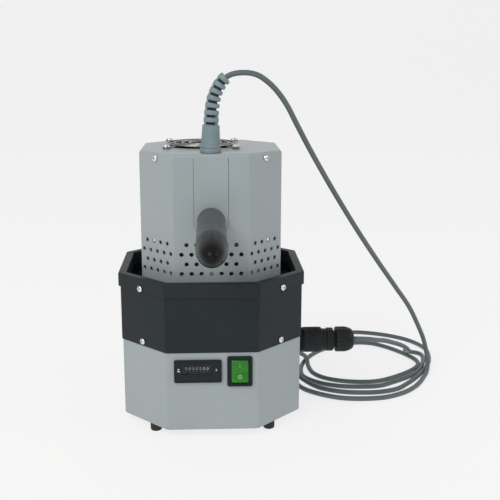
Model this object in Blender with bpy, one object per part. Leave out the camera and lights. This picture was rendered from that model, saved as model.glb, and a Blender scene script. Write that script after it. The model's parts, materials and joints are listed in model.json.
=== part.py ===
"""Dry block heater with a fan hood: octagonal case, collar and hood, tube insert, counter and cable.

The octagons are centred on the Z axis, the front panel faces -Y and the table is z = 0. Everything
hangs from one empty that centres the whole object on the origin.
"""

import math

import bmesh
import bpy
from mathutils import Matrix, Vector

MM = 0.001
GAP = 0.3 * MM  # clearance between pieces that touch

# Octagonal case: a square with 45 degree corners. Collar and rim are the same outline set outward.
BODY_HALF = 93.5 * MM
BODY_CHAMFER = 47.0 * MM
FOOT_HEIGHT = 8.0 * MM
BASE_TOP = 91.0 * MM
SHEET = 1.5 * MM
BEND = 2.0 * MM
BASE_LEDGE = 9.0 * MM
COLLAR_OUTSET = 1.0 * MM
COLLAR_WALL = 2.0 * MM
RIM_OUTSET = 3.0 * MM
RIM_WIDTH = 8.5 * MM
RIM_TOP = 163.0 * MM
RIM_HEIGHT = 14.0 * MM
RIM_BOTTOM = RIM_TOP - RIM_HEIGHT
FOOT_RADIUS = 6.0 * MM
FOOT_X = 59.0 * MM
FOOT_Y = 73.0 * MM
NOTCH = 3.0 * MM
SOCKET_REACH = 12.2 * MM  # from the case's side to the end of the panel socket

# Heating block with its tray, and the lift-out insert for four 50 ml tubes.
DECK_TOP = 138.0 * MM
BLOCK_HALF = 55.0 * MM
BLOCK_CHAMFER = 20.0 * MM
BLOCK_HEIGHT = 46.0 * MM
HEATER_THICKNESS = 4.0 * MM
TRAY_FLOOR = 8.0 * MM
TRAY_WALL = 5.4 * MM
TRAY_FLANGE = 3.8 * MM
POCKET_HALF = 42.0 * MM
POCKET_DEPTH = 38.0 * MM
POCKET_CORNER = 4.0 * MM
INSERT_HEIGHT = 43.8 * MM
WELL_RADIUS = 15.25 * MM
WELL_PITCH = 39.0 * MM
WELL_FLOOR = 6.0 * MM
WELL_CONE = 8.0 * MM
PROBE_RADIUS = 1.5 * MM
PROBE_X = 48.5 * MM
PROBE_DEPTH = 24.0 * MM

# Hood with its perforations, slot strip and handle.
HOOD_HALF = 72.5 * MM
HOOD_CHAMFER = 34.8 * MM
HOOD_TOP = 288.0 * MM
HOOD_ROOF = 1.8 * MM
HOOD_FOLD = 3.0 * MM
HOLE_RADIUS = 2.25 * MM
HOLE_PITCH = 10.0 * MM
HOLE_ROWS = 4
HOLE_MARGIN = 4.2 * MM  # from the collar's edge to the lowest row of holes
HOLE_FIRST_Z = RIM_TOP + HOLE_MARGIN
SLOT_HALF = 17.4 * MM
SLOT_MARGIN = 4.0 * MM
SLOT_TOP = HOOD_TOP - SLOT_MARGIN
HANDLE_RISE = 58.0 * MM  # from the collar's edge to the handle's axis
HANDLE_Z = RIM_TOP + HANDLE_RISE
HANDLE_RADIUS = 14.1 * MM
HANDLE_BARREL = 108.0 * MM
HANDLE_KNOB = 14.2 * MM  # straight part of the black end
HANDLE_DOME = 35.0 * MM
STUD_RADIUS = 4.0 * MM
BACKING_HALF = 24.0 * MM

# Fan in the hood's roof.
FAN_SIZE = 80.0 * MM
FAN_DEPTH = 25.0 * MM
FAN_HOLES = 71.5 * MM
FAN_BORE = 38.0 * MM
FAN_X = -9.5 * MM
FAN_Y = 12.0 * MM
FAN_BLADES = 7
WIRE = 1.8 * MM

# Cable gland, bend protector and cable.
GLAND_Y = -58.0 * MM
GLAND_RADIUS = 10.5 * MM
CORD_RADIUS = 2.75 * MM
SLEEVE_WIDE = 9.75 * MM
SLEEVE_SLIM = 8.5 * MM
RIDGE_PITCH = 7.0 * MM
RIDGES = 7
COIL_HEIGHT = 6.0 * MM

# Panel pieces.
COUNTER_X = -14.6 * MM
COUNTER_Z = 71.7 * MM
COUNTER_WIDTH = 48.0 * MM
COUNTER_HEIGHT = 24.0 * MM
DRUMS = 7
DRUM_PITCH = 3.6 * MM
DRUM_RADIUS = 6.5 * MM
DRUM_X = -15.5 * MM
DRUM_Z = 74.0 * MM
AXLE_RADIUS = 1.4 * MM
SWITCH_X = 27.7 * MM
SWITCH_Z = 71.1 * MM
SWITCH_WIDTH = 25.5 * MM
SWITCH_HEIGHT = 32.0 * MM
ROCKER_WIDTH = 17.0 * MM
ROCKER_HALF = 10.9 * MM
ROCKER_TILT = math.radians(8.0)
PLUG_Y = -4.0 * MM
PLUG_Z = 72.7 * MM
PLUG_RADIUS = 14.0 * MM
INLET_X = -35.0 * MM
INLET_Z = 46.0 * MM
SCREW_HEAD = 3.4 * MM
SCREW_SHAFT = 1.5 * MM
UPPER_SCREW_DROP = 10.7 * MM
UPPER_SCREW_Z = RIM_TOP - UPPER_SCREW_DROP
LOWER_SCREW_RISE = 5.2 * MM
LOWER_SCREW_Z = BASE_TOP + LOWER_SCREW_RISE
HOOD_SCREW_DROP = 6.0 * MM
HOOD_SCREW_Z = HOOD_TOP - HOOD_SCREW_DROP

# ---------------------------------------------------------------------------------------------
# Scene set-up and helpers
# ---------------------------------------------------------------------------------------------

for old in list(bpy.data.objects):
    bpy.data.objects.remove(old, do_unlink=True)

PART = bpy.data.collections.new("dry_block_heater")
CUTTERS = bpy.data.collections.new("cutters")
bpy.context.scene.collection.children.link(PART)
bpy.context.scene.collection.children.link(CUTTERS)
CUTTERS.hide_render = True

HANDLE_REACH = HANDLE_BARREL + HANDLE_KNOB + HANDLE_DOME + GAP
FRAME_SHIFT = (HOOD_HALF + HANDLE_REACH - BODY_HALF - RIM_OUTSET) / 2
FRAME_SIDE = (SOCKET_REACH - RIM_OUTSET) / 2
FRAME = bpy.data.objects.new("frame", None)
FRAME.location = (-FRAME_SIDE, FRAME_SHIFT, 0.0)
PART.objects.link(FRAME)


def material(name, colour, roughness, metallic=0.0):
    """A Principled BSDF material."""
    made = bpy.data.materials.new(name)
    made.use_nodes = True
    shader = made.node_tree.nodes["Principled BSDF"]
    shader.inputs["Base Color"].default_value = (*colour, 1.0)
    shader.inputs["Roughness"].default_value = roughness
    shader.inputs["Metallic"].default_value = metallic
    made.diffuse_color = (*colour, 1.0)
    return made


def solid(name, shape, paint, at=(0, 0, 0), turn=None, smooth=False):
    """Ends a bmesh as the named object, in its own collection and under the frame."""
    bmesh.ops.recalc_face_normals(shape, faces=shape.faces)
    mesh = bpy.data.meshes.new(name)
    shape.to_mesh(mesh)
    shape.free()
    return placed(name, mesh, paint, at, turn, smooth)


def placed(name, mesh, paint, at=(0, 0, 0), turn=None, smooth=False):
    """An object that shows this mesh at a place, turned by an optional 3x3 matrix."""
    if smooth:
        mesh.shade_smooth()
    if not mesh.materials:
        mesh.materials.append(paint)
    made = bpy.data.objects.new(name, mesh)
    made.matrix_world = Matrix.Translation(at) @ (turn.to_4x4() if turn else Matrix())
    made.parent = FRAME
    PART.objects.link(made)
    return made


def boolean(target, shape, operation="DIFFERENCE"):
    """Cuts or joins a bmesh, given in the frame's coordinates, from or to the target."""
    bmesh.ops.recalc_face_normals(shape, faces=shape.faces)
    label = f"{target.name}_{operation.lower()}_{len(target.modifiers)}"
    mesh = bpy.data.meshes.new(label)
    shape.to_mesh(mesh)
    shape.free()
    cutter = bpy.data.objects.new(label, mesh)
    cutter.parent = FRAME
    cutter.display_type = "WIRE"
    cutter.hide_render = True
    CUTTERS.objects.link(cutter)
    modifier = target.modifiers.new(label, "BOOLEAN")
    modifier.operation = operation
    modifier.solver = "EXACT"
    modifier.object = cutter


def octagon(half, chamfer, outset=0.0, bend=0.0):
    """Outline of a square with cut corners, every side moved outward by the outset."""
    diagonal = (2 * half - chamfer) / math.sqrt(2) + outset
    reach = half + outset
    flat = math.sqrt(2) * diagonal - reach
    corners = [(reach, -flat), (reach, flat), (flat, reach), (-flat, reach)]
    corners += [(-reach, flat), (-reach, -flat), (-flat, -reach), (flat, -reach)]
    if bend <= 0:
        return corners
    return rounded(corners, bend)


def rounded(corners, radius, steps=1):
    """The outline with each corner replaced by an arc."""
    points = []
    for index, corner in enumerate(corners):
        here = Vector(corner)
        back = (Vector(corners[index - 1]) - here).normalized()
        ahead = (Vector(corners[(index + 1) % len(corners)]) - here).normalized()
        half_angle = back.angle(ahead) / 2
        centre = here + (back + ahead).normalized() * radius / math.sin(half_angle)
        start = here + back * radius / math.tan(half_angle) - centre
        end = here + ahead * radius / math.tan(half_angle) - centre
        sweep = start.angle_signed(end)
        for step in range(steps + 1):
            arm = start.copy()
            arm.rotate(Matrix.Rotation(-sweep * step / steps, 2))
            points.append(tuple(centre + arm))
    return points


def rectangle(x0, x1, y0, y1):
    return [(x0, y0), (x1, y0), (x1, y1), (x0, y1)]


def loft(shape, rings, closed=False, turn=None):
    """Joins outlines of the same count at rising or falling heights; a closed loft has no caps."""
    loops = [[shape.verts.new((x, y, z)) for x, y in outline] for outline, z in rings]
    pairs = list(zip(loops, loops[1:]))
    if closed:
        pairs.append((loops[-1], loops[0]))
    else:
        shape.faces.new(loops[0])
        shape.faces.new(loops[-1])
    for low, high in pairs:
        for index in range(len(low)):
            after = (index + 1) % len(low)
            shape.faces.new((low[index], low[after], high[after], high[index]))
    if turn:
        bmesh.ops.transform(shape, matrix=turn, verts=[v for loop in loops for v in loop])
    return shape


def box(shape, x0, x1, y0, y1, z0, z1):
    size = Matrix.Diagonal((x1 - x0, y1 - y0, z1 - z0, 1.0))
    centre = Matrix.Translation(((x0 + x1) / 2, (y0 + y1) / 2, (z0 + z1) / 2))
    bmesh.ops.create_cube(shape, size=1.0, matrix=centre @ size)
    return shape


def facing(direction):
    """Rotation that takes +Z to the direction."""
    return Vector((0, 0, 1)).rotation_difference(Vector(direction)).to_matrix()


def cylinder(shape, start, direction, length, radius, steps=16, end_radius=None):
    """A capped cylinder or cone from the start point along the direction."""
    centre = Vector(start) + Vector(direction).normalized() * length / 2
    bmesh.ops.create_cone(
        shape,
        cap_ends=True,
        segments=steps,
        radius1=radius,
        radius2=radius if end_radius is None else end_radius,
        depth=length,
        matrix=Matrix.Translation(centre) @ facing(direction).to_4x4(),
    )
    return shape


def turned(shape, profile, steps, turn=None):
    """Spins (radius, height) points about Z: a closed loop if no point lies on the axis."""
    on_axis = any(radius == 0 for radius, _ in profile)
    verts = [shape.verts.new((radius, 0.0, height)) for radius, height in profile]
    edges = [shape.edges.new(pair) for pair in zip(verts, verts[1:])]
    if not on_axis:
        edges.append(shape.edges.new((verts[-1], verts[0])))
    before = set(shape.verts) - set(verts)
    bmesh.ops.spin(
        shape,
        geom=verts + edges,
        cent=(0, 0, 0),
        axis=(0, 0, 1),
        angle=2 * math.pi,
        steps=steps,
        use_merge=True,
    )
    made = [vert for vert in shape.verts if vert not in before]
    bmesh.ops.remove_doubles(shape, verts=made, dist=1e-7)
    if turn:
        made = [vert for vert in shape.verts if vert not in before]
        bmesh.ops.transform(shape, matrix=turn, verts=made)
    return shape


def along(axis_point, direction):
    """Matrix that puts a shape turned about Z onto another axis."""
    return Matrix.Translation(axis_point) @ facing(direction).to_4x4()


def smooth_line(points, spacing):
    """Points every spacing along a centripetal Catmull-Rom curve through the given points."""
    knots = [Vector(point) for point in points]
    knots = [2 * knots[0] - knots[1], *knots, 2 * knots[-1] - knots[-2]]
    fine = []
    for p0, p1, p2, p3 in zip(knots, knots[1:], knots[2:], knots[3:]):
        t1 = (p1 - p0).length ** 0.5
        t2 = t1 + (p2 - p1).length ** 0.5
        t3 = t2 + (p3 - p2).length ** 0.5
        for step in range(24):
            t = t1 + (t2 - t1) * step / 24
            a1 = p0.lerp(p1, t / t1)
            a2 = p1.lerp(p2, (t - t1) / (t2 - t1))
            a3 = p2.lerp(p3, (t - t2) / (t3 - t2))
            b1 = a1.lerp(a2, t / t2)
            b2 = a2.lerp(a3, (t - t1) / (t3 - t1))
            fine.append(b1.lerp(b2, (t - t1) / (t2 - t1)))
    fine.append(knots[-2])
    line = [fine[0]]
    walked = 0.0
    for near, far in zip(fine, fine[1:]):
        reach = (far - near).length
        while walked + reach >= spacing:
            near = near.lerp(far, (spacing - walked) / reach)
            line.append(near)
            reach = (far - near).length
            walked = 0.0
        walked += reach
    if (line[-1] - fine[-1]).length > spacing / 3:
        line.append(fine[-1])
    else:
        line[-1] = fine[-1]
    return line


def tube(name, line, radius, sides_step, paint, radii=None):
    """A capped round tube along a line, as an object."""
    curve = bpy.data.curves.new(name, "CURVE")
    curve.dimensions = "3D"
    curve.bevel_depth = radius
    curve.bevel_resolution = sides_step
    curve.use_fill_caps = True
    spline = curve.splines.new("POLY")
    spline.points.add(len(line) - 1)
    for index, point in enumerate(line):
        spline.points[index].co = (*point, 1.0)
        spline.points[index].radius = radii[index] / radius if radii else 1.0
    spline.use_smooth = True
    made = bpy.data.objects.new(name, curve)
    made.parent = FRAME
    curve.materials.append(paint)
    PART.objects.link(made)
    return made


def as_shape(made):
    """The tube's mesh as a bmesh, with the caps welded on; the curve is removed."""
    graph = bpy.context.evaluated_depsgraph_get()
    mesh = bpy.data.meshes.new_from_object(made.evaluated_get(graph))
    shape = bmesh.new()
    shape.from_mesh(mesh)
    bmesh.ops.remove_doubles(shape, verts=shape.verts, dist=1e-7)
    bpy.data.meshes.remove(mesh)
    bpy.data.objects.remove(made, do_unlink=True)
    return shape


# ---------------------------------------------------------------------------------------------
# Materials
# ---------------------------------------------------------------------------------------------

GREY_PAINT = material("grey_paint", (0.37, 0.41, 0.42), 0.5)
HOOD_PAINT = material("hood_paint", (0.38, 0.42, 0.43), 0.48)
BLACK_PAINT = material("black_collar", (0.025, 0.033, 0.037), 0.5)
RIM_PLASTIC = material("black_rim", (0.03, 0.035, 0.038), 0.45)
PLATE_ZINC = material("base_plate_zinc", (0.5, 0.5, 0.5), 0.4, 0.9)
RUBBER = material("foot_rubber", (0.015, 0.015, 0.016), 0.8)
STEEL = material("screw_steel", (0.75, 0.76, 0.77), 0.22, 1.0)
DECK = material("deck_steel", (0.03, 0.035, 0.038), 0.6, 0.3)
INSULATION = material("tray_insulation", (0.08, 0.08, 0.085), 0.85)
HEATER = material("heater_mica", (0.45, 0.35, 0.2), 0.6)
ALUMINIUM = material("block_aluminium", (0.72, 0.73, 0.74), 0.3, 1.0)
INSERT = material("insert_aluminium", (0.78, 0.79, 0.8), 0.25, 1.0)
PROBE = material("probe_steel", (0.6, 0.6, 0.6), 0.3, 1.0)
PSU = material("supply_case", (0.6, 0.61, 0.62), 0.4, 0.8)
BOARD = material("board_green", (0.02, 0.16, 0.06), 0.5)
BEZEL = material("counter_black", (0.012, 0.013, 0.014), 0.35)
DRUM = material("drum_black", (0.015, 0.015, 0.016), 0.5)
WINDOW = material("window_clear", (0.05, 0.055, 0.06), 0.08)
SWITCH = material("switch_black", (0.012, 0.013, 0.013), 0.4)
ROCKER = material("rocker_green", (0.02, 0.22, 0.025), 0.2)
SOCKET = material("socket_black", (0.018, 0.019, 0.02), 0.5)
PLUG = material("plug_black", (0.015, 0.017, 0.018), 0.5)
INLET = material("inlet_black", (0.015, 0.015, 0.016), 0.45)
DRAWER = material("drawer_black", (0.02, 0.02, 0.022), 0.4)
GRIP = material("grip_black", (0.02, 0.024, 0.027), 0.3)
FAN = material("fan_black", (0.015, 0.016, 0.017), 0.5)
GUARD = material("guard_chrome", (0.7, 0.71, 0.72), 0.2, 1.0)
GLAND = material("gland_grey", (0.22, 0.28, 0.3), 0.55)
CORD = material("cord_grey", (0.16, 0.18, 0.19), 0.55)

# ---------------------------------------------------------------------------------------------
# Case, base plate and feet
# ---------------------------------------------------------------------------------------------


def body_outline(outset=0.0, bend=BEND):
    return octagon(BODY_HALF, BODY_CHAMFER, outset, max(bend, 0.4 * MM))


def inner_outline(outset):
    return octagon(BODY_HALF, BODY_CHAMFER, outset)


case_rings = [
    (body_outline(), FOOT_HEIGHT),
    (body_outline(), BASE_TOP),
    (body_outline(-BASE_LEDGE, BEND - SHEET), BASE_TOP),
    (body_outline(-BASE_LEDGE, BEND - SHEET), BASE_TOP - SHEET),
    (body_outline(-SHEET, BEND - SHEET), BASE_TOP - SHEET),
    (body_outline(-SHEET, BEND - SHEET), FOOT_HEIGHT),
]
base_case = solid("base_case", loft(bmesh.new(), case_rings, closed=True), GREY_PAINT)

panel_front = -BODY_HALF
panel_side = BODY_HALF
panel_back = BODY_HALF
counter_hole = (COUNTER_WIDTH / 2 - 1.4 * MM, COUNTER_HEIGHT / 2 - 1.4 * MM)
switch_hole = (SWITCH_WIDTH / 2 - 1.5 * MM, SWITCH_HEIGHT / 2 - 1.8 * MM)
INLET_HALF_X = 13.6 * MM
INLET_HALF_Z = 22.2 * MM
SOCKET_HOLE = 11.0 * MM

openings = bmesh.new()
for centre_x, centre_z, (half_x, half_z) in (
    (COUNTER_X, COUNTER_Z, counter_hole),
    (SWITCH_X, SWITCH_Z, switch_hole),
):
    box(openings, centre_x - half_x, centre_x + half_x, panel_front - 5 * MM,
        panel_front + 5 * MM, centre_z - half_z, centre_z + half_z)
box(openings, INLET_X - INLET_HALF_X, INLET_X + INLET_HALF_X, panel_back - 5 * MM,
    panel_back + 5 * MM, INLET_Z - INLET_HALF_Z, INLET_Z + INLET_HALF_Z)
cylinder(openings, (panel_side - 5 * MM, PLUG_Y, PLUG_Z), (1, 0, 0), 10 * MM, SOCKET_HOLE, 24)
for corner in octagon(BODY_HALF, BODY_CHAMFER):
    cylinder(openings, (corner[0], corner[1], FOOT_HEIGHT - 2 * MM), (0, 0, 1),
             2 * MM + NOTCH, NOTCH / 2, 8)
boolean(base_case, openings)

lip_inset = SHEET + GAP
plate_rings = [
    (inner_outline(-lip_inset), FOOT_HEIGHT),
    (inner_outline(-lip_inset), FOOT_HEIGHT + 10 * MM),
    (inner_outline(-lip_inset - SHEET), FOOT_HEIGHT + 10 * MM),
    (inner_outline(-lip_inset - SHEET), FOOT_HEIGHT + SHEET),
]
solid("base_plate", loft(bmesh.new(), plate_rings), PLATE_ZINC)

foot_top = FOOT_HEIGHT - GAP
foot_profile = [(0.0, 0.0), (FOOT_RADIUS * 0.86, 0.0), (FOOT_RADIUS, FOOT_HEIGHT * 0.15),
                (FOOT_RADIUS, foot_top), (0.0, foot_top)]
foot_shape = turned(bmesh.new(), foot_profile, 20)
first_foot = solid("foot_1", foot_shape, RUBBER, (-FOOT_X, -FOOT_Y, 0), smooth=False)
for number, (side_x, side_y) in enumerate(((1, -1), (1, 1), (-1, 1)), 2):
    placed(f"foot_{number}", first_foot.data, RUBBER, (side_x * FOOT_X, side_y * FOOT_Y, 0))

# ---------------------------------------------------------------------------------------------
# Collar: wall, rim and the deck pan inside it
# ---------------------------------------------------------------------------------------------

RIM_THICKNESS = 2.2 * MM
LEG_CLEARANCE = GAP
collar_inner = COLLAR_OUTSET - COLLAR_WALL
wall_rings = [
    (body_outline(COLLAR_OUTSET), BASE_TOP + GAP),
    (body_outline(COLLAR_OUTSET), RIM_TOP - RIM_THICKNESS - GAP),
    (body_outline(collar_inner), RIM_TOP - RIM_THICKNESS - GAP),
    (body_outline(collar_inner), BASE_TOP + GAP),
]
collar_wall = solid("collar_wall", loft(bmesh.new(), wall_rings, closed=True), BLACK_PAINT)

groove_top = RIM_TOP - RIM_THICKNESS
rim_inner = RIM_OUTSET - RIM_WIDTH
rim_rings = [
    (body_outline(RIM_OUTSET), RIM_BOTTOM),
    (body_outline(RIM_OUTSET), RIM_TOP - 0.6 * MM),
    (body_outline(RIM_OUTSET - 0.6 * MM), RIM_TOP),
    (body_outline(rim_inner + 0.6 * MM), RIM_TOP),
    (body_outline(rim_inner), RIM_TOP - 0.6 * MM),
    (body_outline(rim_inner), RIM_BOTTOM),
    (body_outline(collar_inner - LEG_CLEARANCE), RIM_BOTTOM),
    (body_outline(collar_inner - LEG_CLEARANCE), groove_top),
    (body_outline(COLLAR_OUTSET + LEG_CLEARANCE), groove_top),
    (body_outline(COLLAR_OUTSET + LEG_CLEARANCE), RIM_BOTTOM),
]
collar_rim = solid("collar_rim", loft(bmesh.new(), rim_rings, closed=True), RIM_PLASTIC)

deck_bottom = BASE_TOP + 1.0 * MM
skirt = collar_inner - GAP
TRAY_OUTSET = GAP + TRAY_WALL
DECK_CLEARANCE = 0.5 * MM


def block_outline(outset=0.0):
    return octagon(BLOCK_HALF, BLOCK_CHAMFER, outset)


pan_rings = [
    (inner_outline(skirt), deck_bottom),
    (inner_outline(skirt), DECK_TOP),
    (block_outline(TRAY_OUTSET + DECK_CLEARANCE), DECK_TOP),
    (block_outline(TRAY_OUTSET + DECK_CLEARANCE), DECK_TOP - SHEET),
    (inner_outline(skirt - SHEET), DECK_TOP - SHEET),
    (inner_outline(skirt - SHEET), deck_bottom),
]
deck_pan = solid("deck_pan", loft(bmesh.new(), pan_rings, closed=True), DECK)

CORNERS = [Vector((sx, sy, 0)).normalized() for sx, sy in ((-1, -1), (1, -1), (1, 1), (-1, 1))]
body_diagonal = (2 * BODY_HALF - BODY_CHAMFER) / math.sqrt(2)
hood_diagonal = (2 * HOOD_HALF - HOOD_CHAMFER) / math.sqrt(2)


def corner_holes(height, distance):
    """Clearance holes for a screw in each corner face, 12 mm either side of the distance."""
    holes = bmesh.new()
    for corner in CORNERS:
        start = corner * (distance - 12 * MM)
        cylinder(holes, (start.x, start.y, height), corner, 24 * MM, SCREW_SHAFT + 0.25 * MM, 8)
    return holes


boolean(collar_wall, corner_holes(UPPER_SCREW_Z, body_diagonal))
boolean(collar_wall, corner_holes(LOWER_SCREW_Z, body_diagonal))
boolean(collar_rim, corner_holes(UPPER_SCREW_Z, body_diagonal))
boolean(deck_pan, corner_holes(LOWER_SCREW_Z, body_diagonal))


def screw_shape(shaft):
    """Domed screw along +Z, with its seat at z = 0."""
    profile = [(0.0, -shaft), (SCREW_SHAFT, -shaft), (SCREW_SHAFT, GAP), (SCREW_HEAD, GAP),
               (SCREW_HEAD * 0.93, GAP + 0.9 * MM), (SCREW_HEAD * 0.6, GAP + 1.8 * MM),
               (0.0, GAP + 2.2 * MM)]
    return turned(bmesh.new(), profile, 10)


for row, (height, outset, shaft) in enumerate(
    ((UPPER_SCREW_Z, RIM_OUTSET, 8 * MM), (LOWER_SCREW_Z, COLLAR_OUTSET, 6 * MM))
):
    first = None
    for index, corner in enumerate(CORNERS):
        seat = corner * (body_diagonal + outset) + Vector((0, 0, height))
        name = f"collar_screw_{row * 4 + index + 1}"
        if first is None:
            first = solid(name, screw_shape(shaft), STEEL, seat, facing(corner), smooth=True)
        else:
            placed(name, first.data, STEEL, seat, facing(corner))

# ---------------------------------------------------------------------------------------------
# Tray, heater, block, insert and probe
# ---------------------------------------------------------------------------------------------

tray_top = DECK_TOP + GAP + 2.0 * MM
tray_bottom = BASE_TOP + GAP
cavity_floor = tray_bottom + TRAY_FLOOR
tray_rings = [
    (block_outline(TRAY_OUTSET), tray_bottom),
    (block_outline(TRAY_OUTSET), DECK_TOP + GAP),
    (block_outline(TRAY_OUTSET + TRAY_FLANGE), DECK_TOP + GAP),
    (block_outline(TRAY_OUTSET + TRAY_FLANGE), tray_top),
    (block_outline(GAP), tray_top),
    (block_outline(GAP), cavity_floor),
]
tray = solid("insulation_tray", loft(bmesh.new(), tray_rings), INSULATION)
heater_bottom = cavity_floor + GAP
block_bottom = heater_bottom + HEATER_THICKNESS + GAP
block_top = block_bottom + BLOCK_HEIGHT
plate_rings = [(block_outline(), heater_bottom), (block_outline(), heater_bottom + HEATER_THICKNESS)]
heater = solid("heater_plate", loft(bmesh.new(), plate_rings), HEATER)
block_rings = [
    (block_outline(), block_bottom),
    (block_outline(), block_top - 1.0 * MM),
    (block_outline(-1.0 * MM), block_top),
]
block = solid("heating_block", loft(bmesh.new(), block_rings), ALUMINIUM)


def square(half, corner):
    return rounded(rectangle(-half, half, -half, half), corner, 3)


pocket_floor = block_top - POCKET_DEPTH
pocket = loft(bmesh.new(), [(square(POCKET_HALF, POCKET_CORNER), pocket_floor),
                            (square(POCKET_HALF, POCKET_CORNER), block_top + 5 * MM)])
boolean(block, pocket)
probe_hole = PROBE_RADIUS + GAP
probe_top = block_bottom + PROBE_DEPTH
for target in (tray, heater):
    boolean(target, cylinder(bmesh.new(), (PROBE_X, 0, tray_bottom - 5 * MM), (0, 0, 1),
                             30 * MM, probe_hole, 10))
boolean(block, cylinder(bmesh.new(), (PROBE_X, 0, block_bottom - 5 * MM), (0, 0, 1),
                        5 * MM + PROBE_DEPTH, probe_hole, 10))
probe_profile = [(0.0, tray_bottom - 10 * MM), (3.0 * MM, tray_bottom - 10 * MM),
                 (3.0 * MM, tray_bottom - GAP), (PROBE_RADIUS, tray_bottom - GAP),
                 (PROBE_RADIUS, probe_top - 2 * MM), (0.0, probe_top - 1 * MM)]
solid("temperature_probe", turned(bmesh.new(), probe_profile, 12), PROBE, (PROBE_X, 0, 0))

insert_bottom = pocket_floor + GAP
insert_top = insert_bottom + INSERT_HEIGHT
insert_half = POCKET_HALF - GAP
insert_corner = POCKET_CORNER - GAP
insert_rings = [
    (square(insert_half - 0.8 * MM, insert_corner), insert_bottom),
    (square(insert_half, insert_corner), insert_bottom + 0.8 * MM),
    (square(insert_half, insert_corner), insert_top - 0.8 * MM),
    (square(insert_half - 0.8 * MM, insert_corner), insert_top),
]
insert = solid("block_insert", loft(bmesh.new(), insert_rings), INSERT)
wells = bmesh.new()
well_floor = insert_bottom + WELL_FLOOR
for side_x in (-1, 1):
    for side_y in (-1, 1):
        well = [(0.0, well_floor), (WELL_RADIUS * 0.25, well_floor),
                (WELL_RADIUS, well_floor + WELL_CONE), (WELL_RADIUS, insert_top + 2 * MM),
                (0.0, insert_top + 2 * MM)]
        centre = Matrix.Translation((side_x * WELL_PITCH / 2, side_y * WELL_PITCH / 2, 0))
        turned(wells, well, 20, centre)
boolean(insert, wells)
boolean(insert, cylinder(bmesh.new(), (0, 0, insert_top - 15 * MM), (0, 0, 1), 20 * MM,
                         2.5 * MM, 12))

# ---------------------------------------------------------------------------------------------
# Power supply and control board
# ---------------------------------------------------------------------------------------------

floor_top = FOOT_HEIGHT + SHEET + GAP
supply = solid("power_supply", box(bmesh.new(), -64 * MM, 6 * MM, -12 * MM, 40 * MM, floor_top,
                                   floor_top + 33 * MM), PSU)
vents = bmesh.new()
for index in range(6):
    left = (-58 + index * 9) * MM
    box(vents, left, left + 4 * MM, -5 * MM, 26 * MM, floor_top + 31 * MM, floor_top + 36 * MM)
boolean(supply, vents)
boolean(supply, box(bmesh.new(), -60 * MM, 0.0, 31 * MM, 37 * MM, floor_top + 30 * MM,
                    floor_top + 41 * MM), "UNION")

board = solid("control_board", box(bmesh.new(), -52 * MM, 52 * MM, 56 * MM, 57.6 * MM, floor_top,
                                   floor_top + 62 * MM), BOARD)
parts = bmesh.new()
for x0, x1, depth, z0, z1 in ((-46, -30, 13, 32, 48), (-22, -6, 5, 30, 46), (6, 20, 9, 38, 52),
                              (28, 44, 11, 20, 34), (-46, -24, 7, 8, 18)):
    box(parts, x0 * MM, x1 * MM, (56.6 - depth) * MM, 56.6 * MM, floor_top + z0 * MM,
        floor_top + z1 * MM)
boolean(board, parts, "UNION")

# ---------------------------------------------------------------------------------------------
# Counter with its drums and window
# ---------------------------------------------------------------------------------------------

bezel_back = panel_front - GAP
counter_face = bezel_back - 2.0 * MM
housing = (COUNTER_WIDTH / 2 - 1.7 * MM, COUNTER_HEIGHT / 2 - 1.7 * MM)
counter = solid("counter_body", box(bmesh.new(), COUNTER_X - COUNTER_WIDTH / 2,
                                    COUNTER_X + COUNTER_WIDTH / 2, counter_face, bezel_back,
                                    COUNTER_Z - COUNTER_HEIGHT / 2,
                                    COUNTER_Z + COUNTER_HEIGHT / 2), BEZEL)
boolean(counter, box(bmesh.new(), COUNTER_X - housing[0], COUNTER_X + housing[0],
                     bezel_back - 1.0 * MM, panel_front + 32 * MM, COUNTER_Z - housing[1],
                     COUNTER_Z + housing[1]), "UNION")
drum_y = counter_face + 2.3 * MM + DRUM_RADIUS
drum_span = DRUMS * DRUM_PITCH / 2 + 0.4 * MM
room = DRUM_RADIUS + 0.6 * MM
boolean(counter, box(bmesh.new(), DRUM_X - drum_span, DRUM_X + drum_span, counter_face + 1.7 * MM,
                     drum_y + room, DRUM_Z - room, DRUM_Z + room))
slit = 3.4 * MM
boolean(counter, box(bmesh.new(), DRUM_X - drum_span, DRUM_X + drum_span, counter_face - 2 * MM,
                     counter_face + 3 * MM, DRUM_Z - slit, DRUM_Z + slit))
window_x = drum_span + 2.2 * MM
window_z = slit + 1.6 * MM
boolean(counter, box(bmesh.new(), DRUM_X - window_x, DRUM_X + window_x, counter_face - 2 * MM,
                     counter_face + 1.0 * MM, DRUM_Z - window_z, DRUM_Z + window_z))
boolean(counter, cylinder(bmesh.new(), (DRUM_X - drum_span - 1.5 * MM, drum_y, DRUM_Z), (1, 0, 0),
                          2 * drum_span + 3 * MM, AXLE_RADIUS, 10), "UNION")
solid("counter_window", box(bmesh.new(), DRUM_X - window_x + GAP, DRUM_X + window_x - GAP,
                            counter_face + 0.05 * MM, counter_face + 0.7 * MM,
                            DRUM_Z - window_z + GAP, DRUM_Z + window_z - GAP), WINDOW)

drum_half = DRUM_PITCH / 2 - GAP / 2
drum_profile = [(DRUM_RADIUS, -drum_half), (DRUM_RADIUS, drum_half),
                (AXLE_RADIUS + GAP, drum_half), (AXLE_RADIUS + GAP, -drum_half)]
first_drum = None
for index in range(DRUMS):
    place = (DRUM_X + ((DRUMS - 1) / 2 - index) * DRUM_PITCH, drum_y, DRUM_Z)
    name = f"counter_drum_{index + 1}"
    if first_drum is None:
        shape = turned(bmesh.new(), drum_profile, 16, facing((1, 0, 0)).to_4x4())
        first_drum = solid(name, shape, DRUM, place)
    else:
        placed(name, first_drum.data, DRUM, place)

# ---------------------------------------------------------------------------------------------
# Rocker switch
# ---------------------------------------------------------------------------------------------

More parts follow.
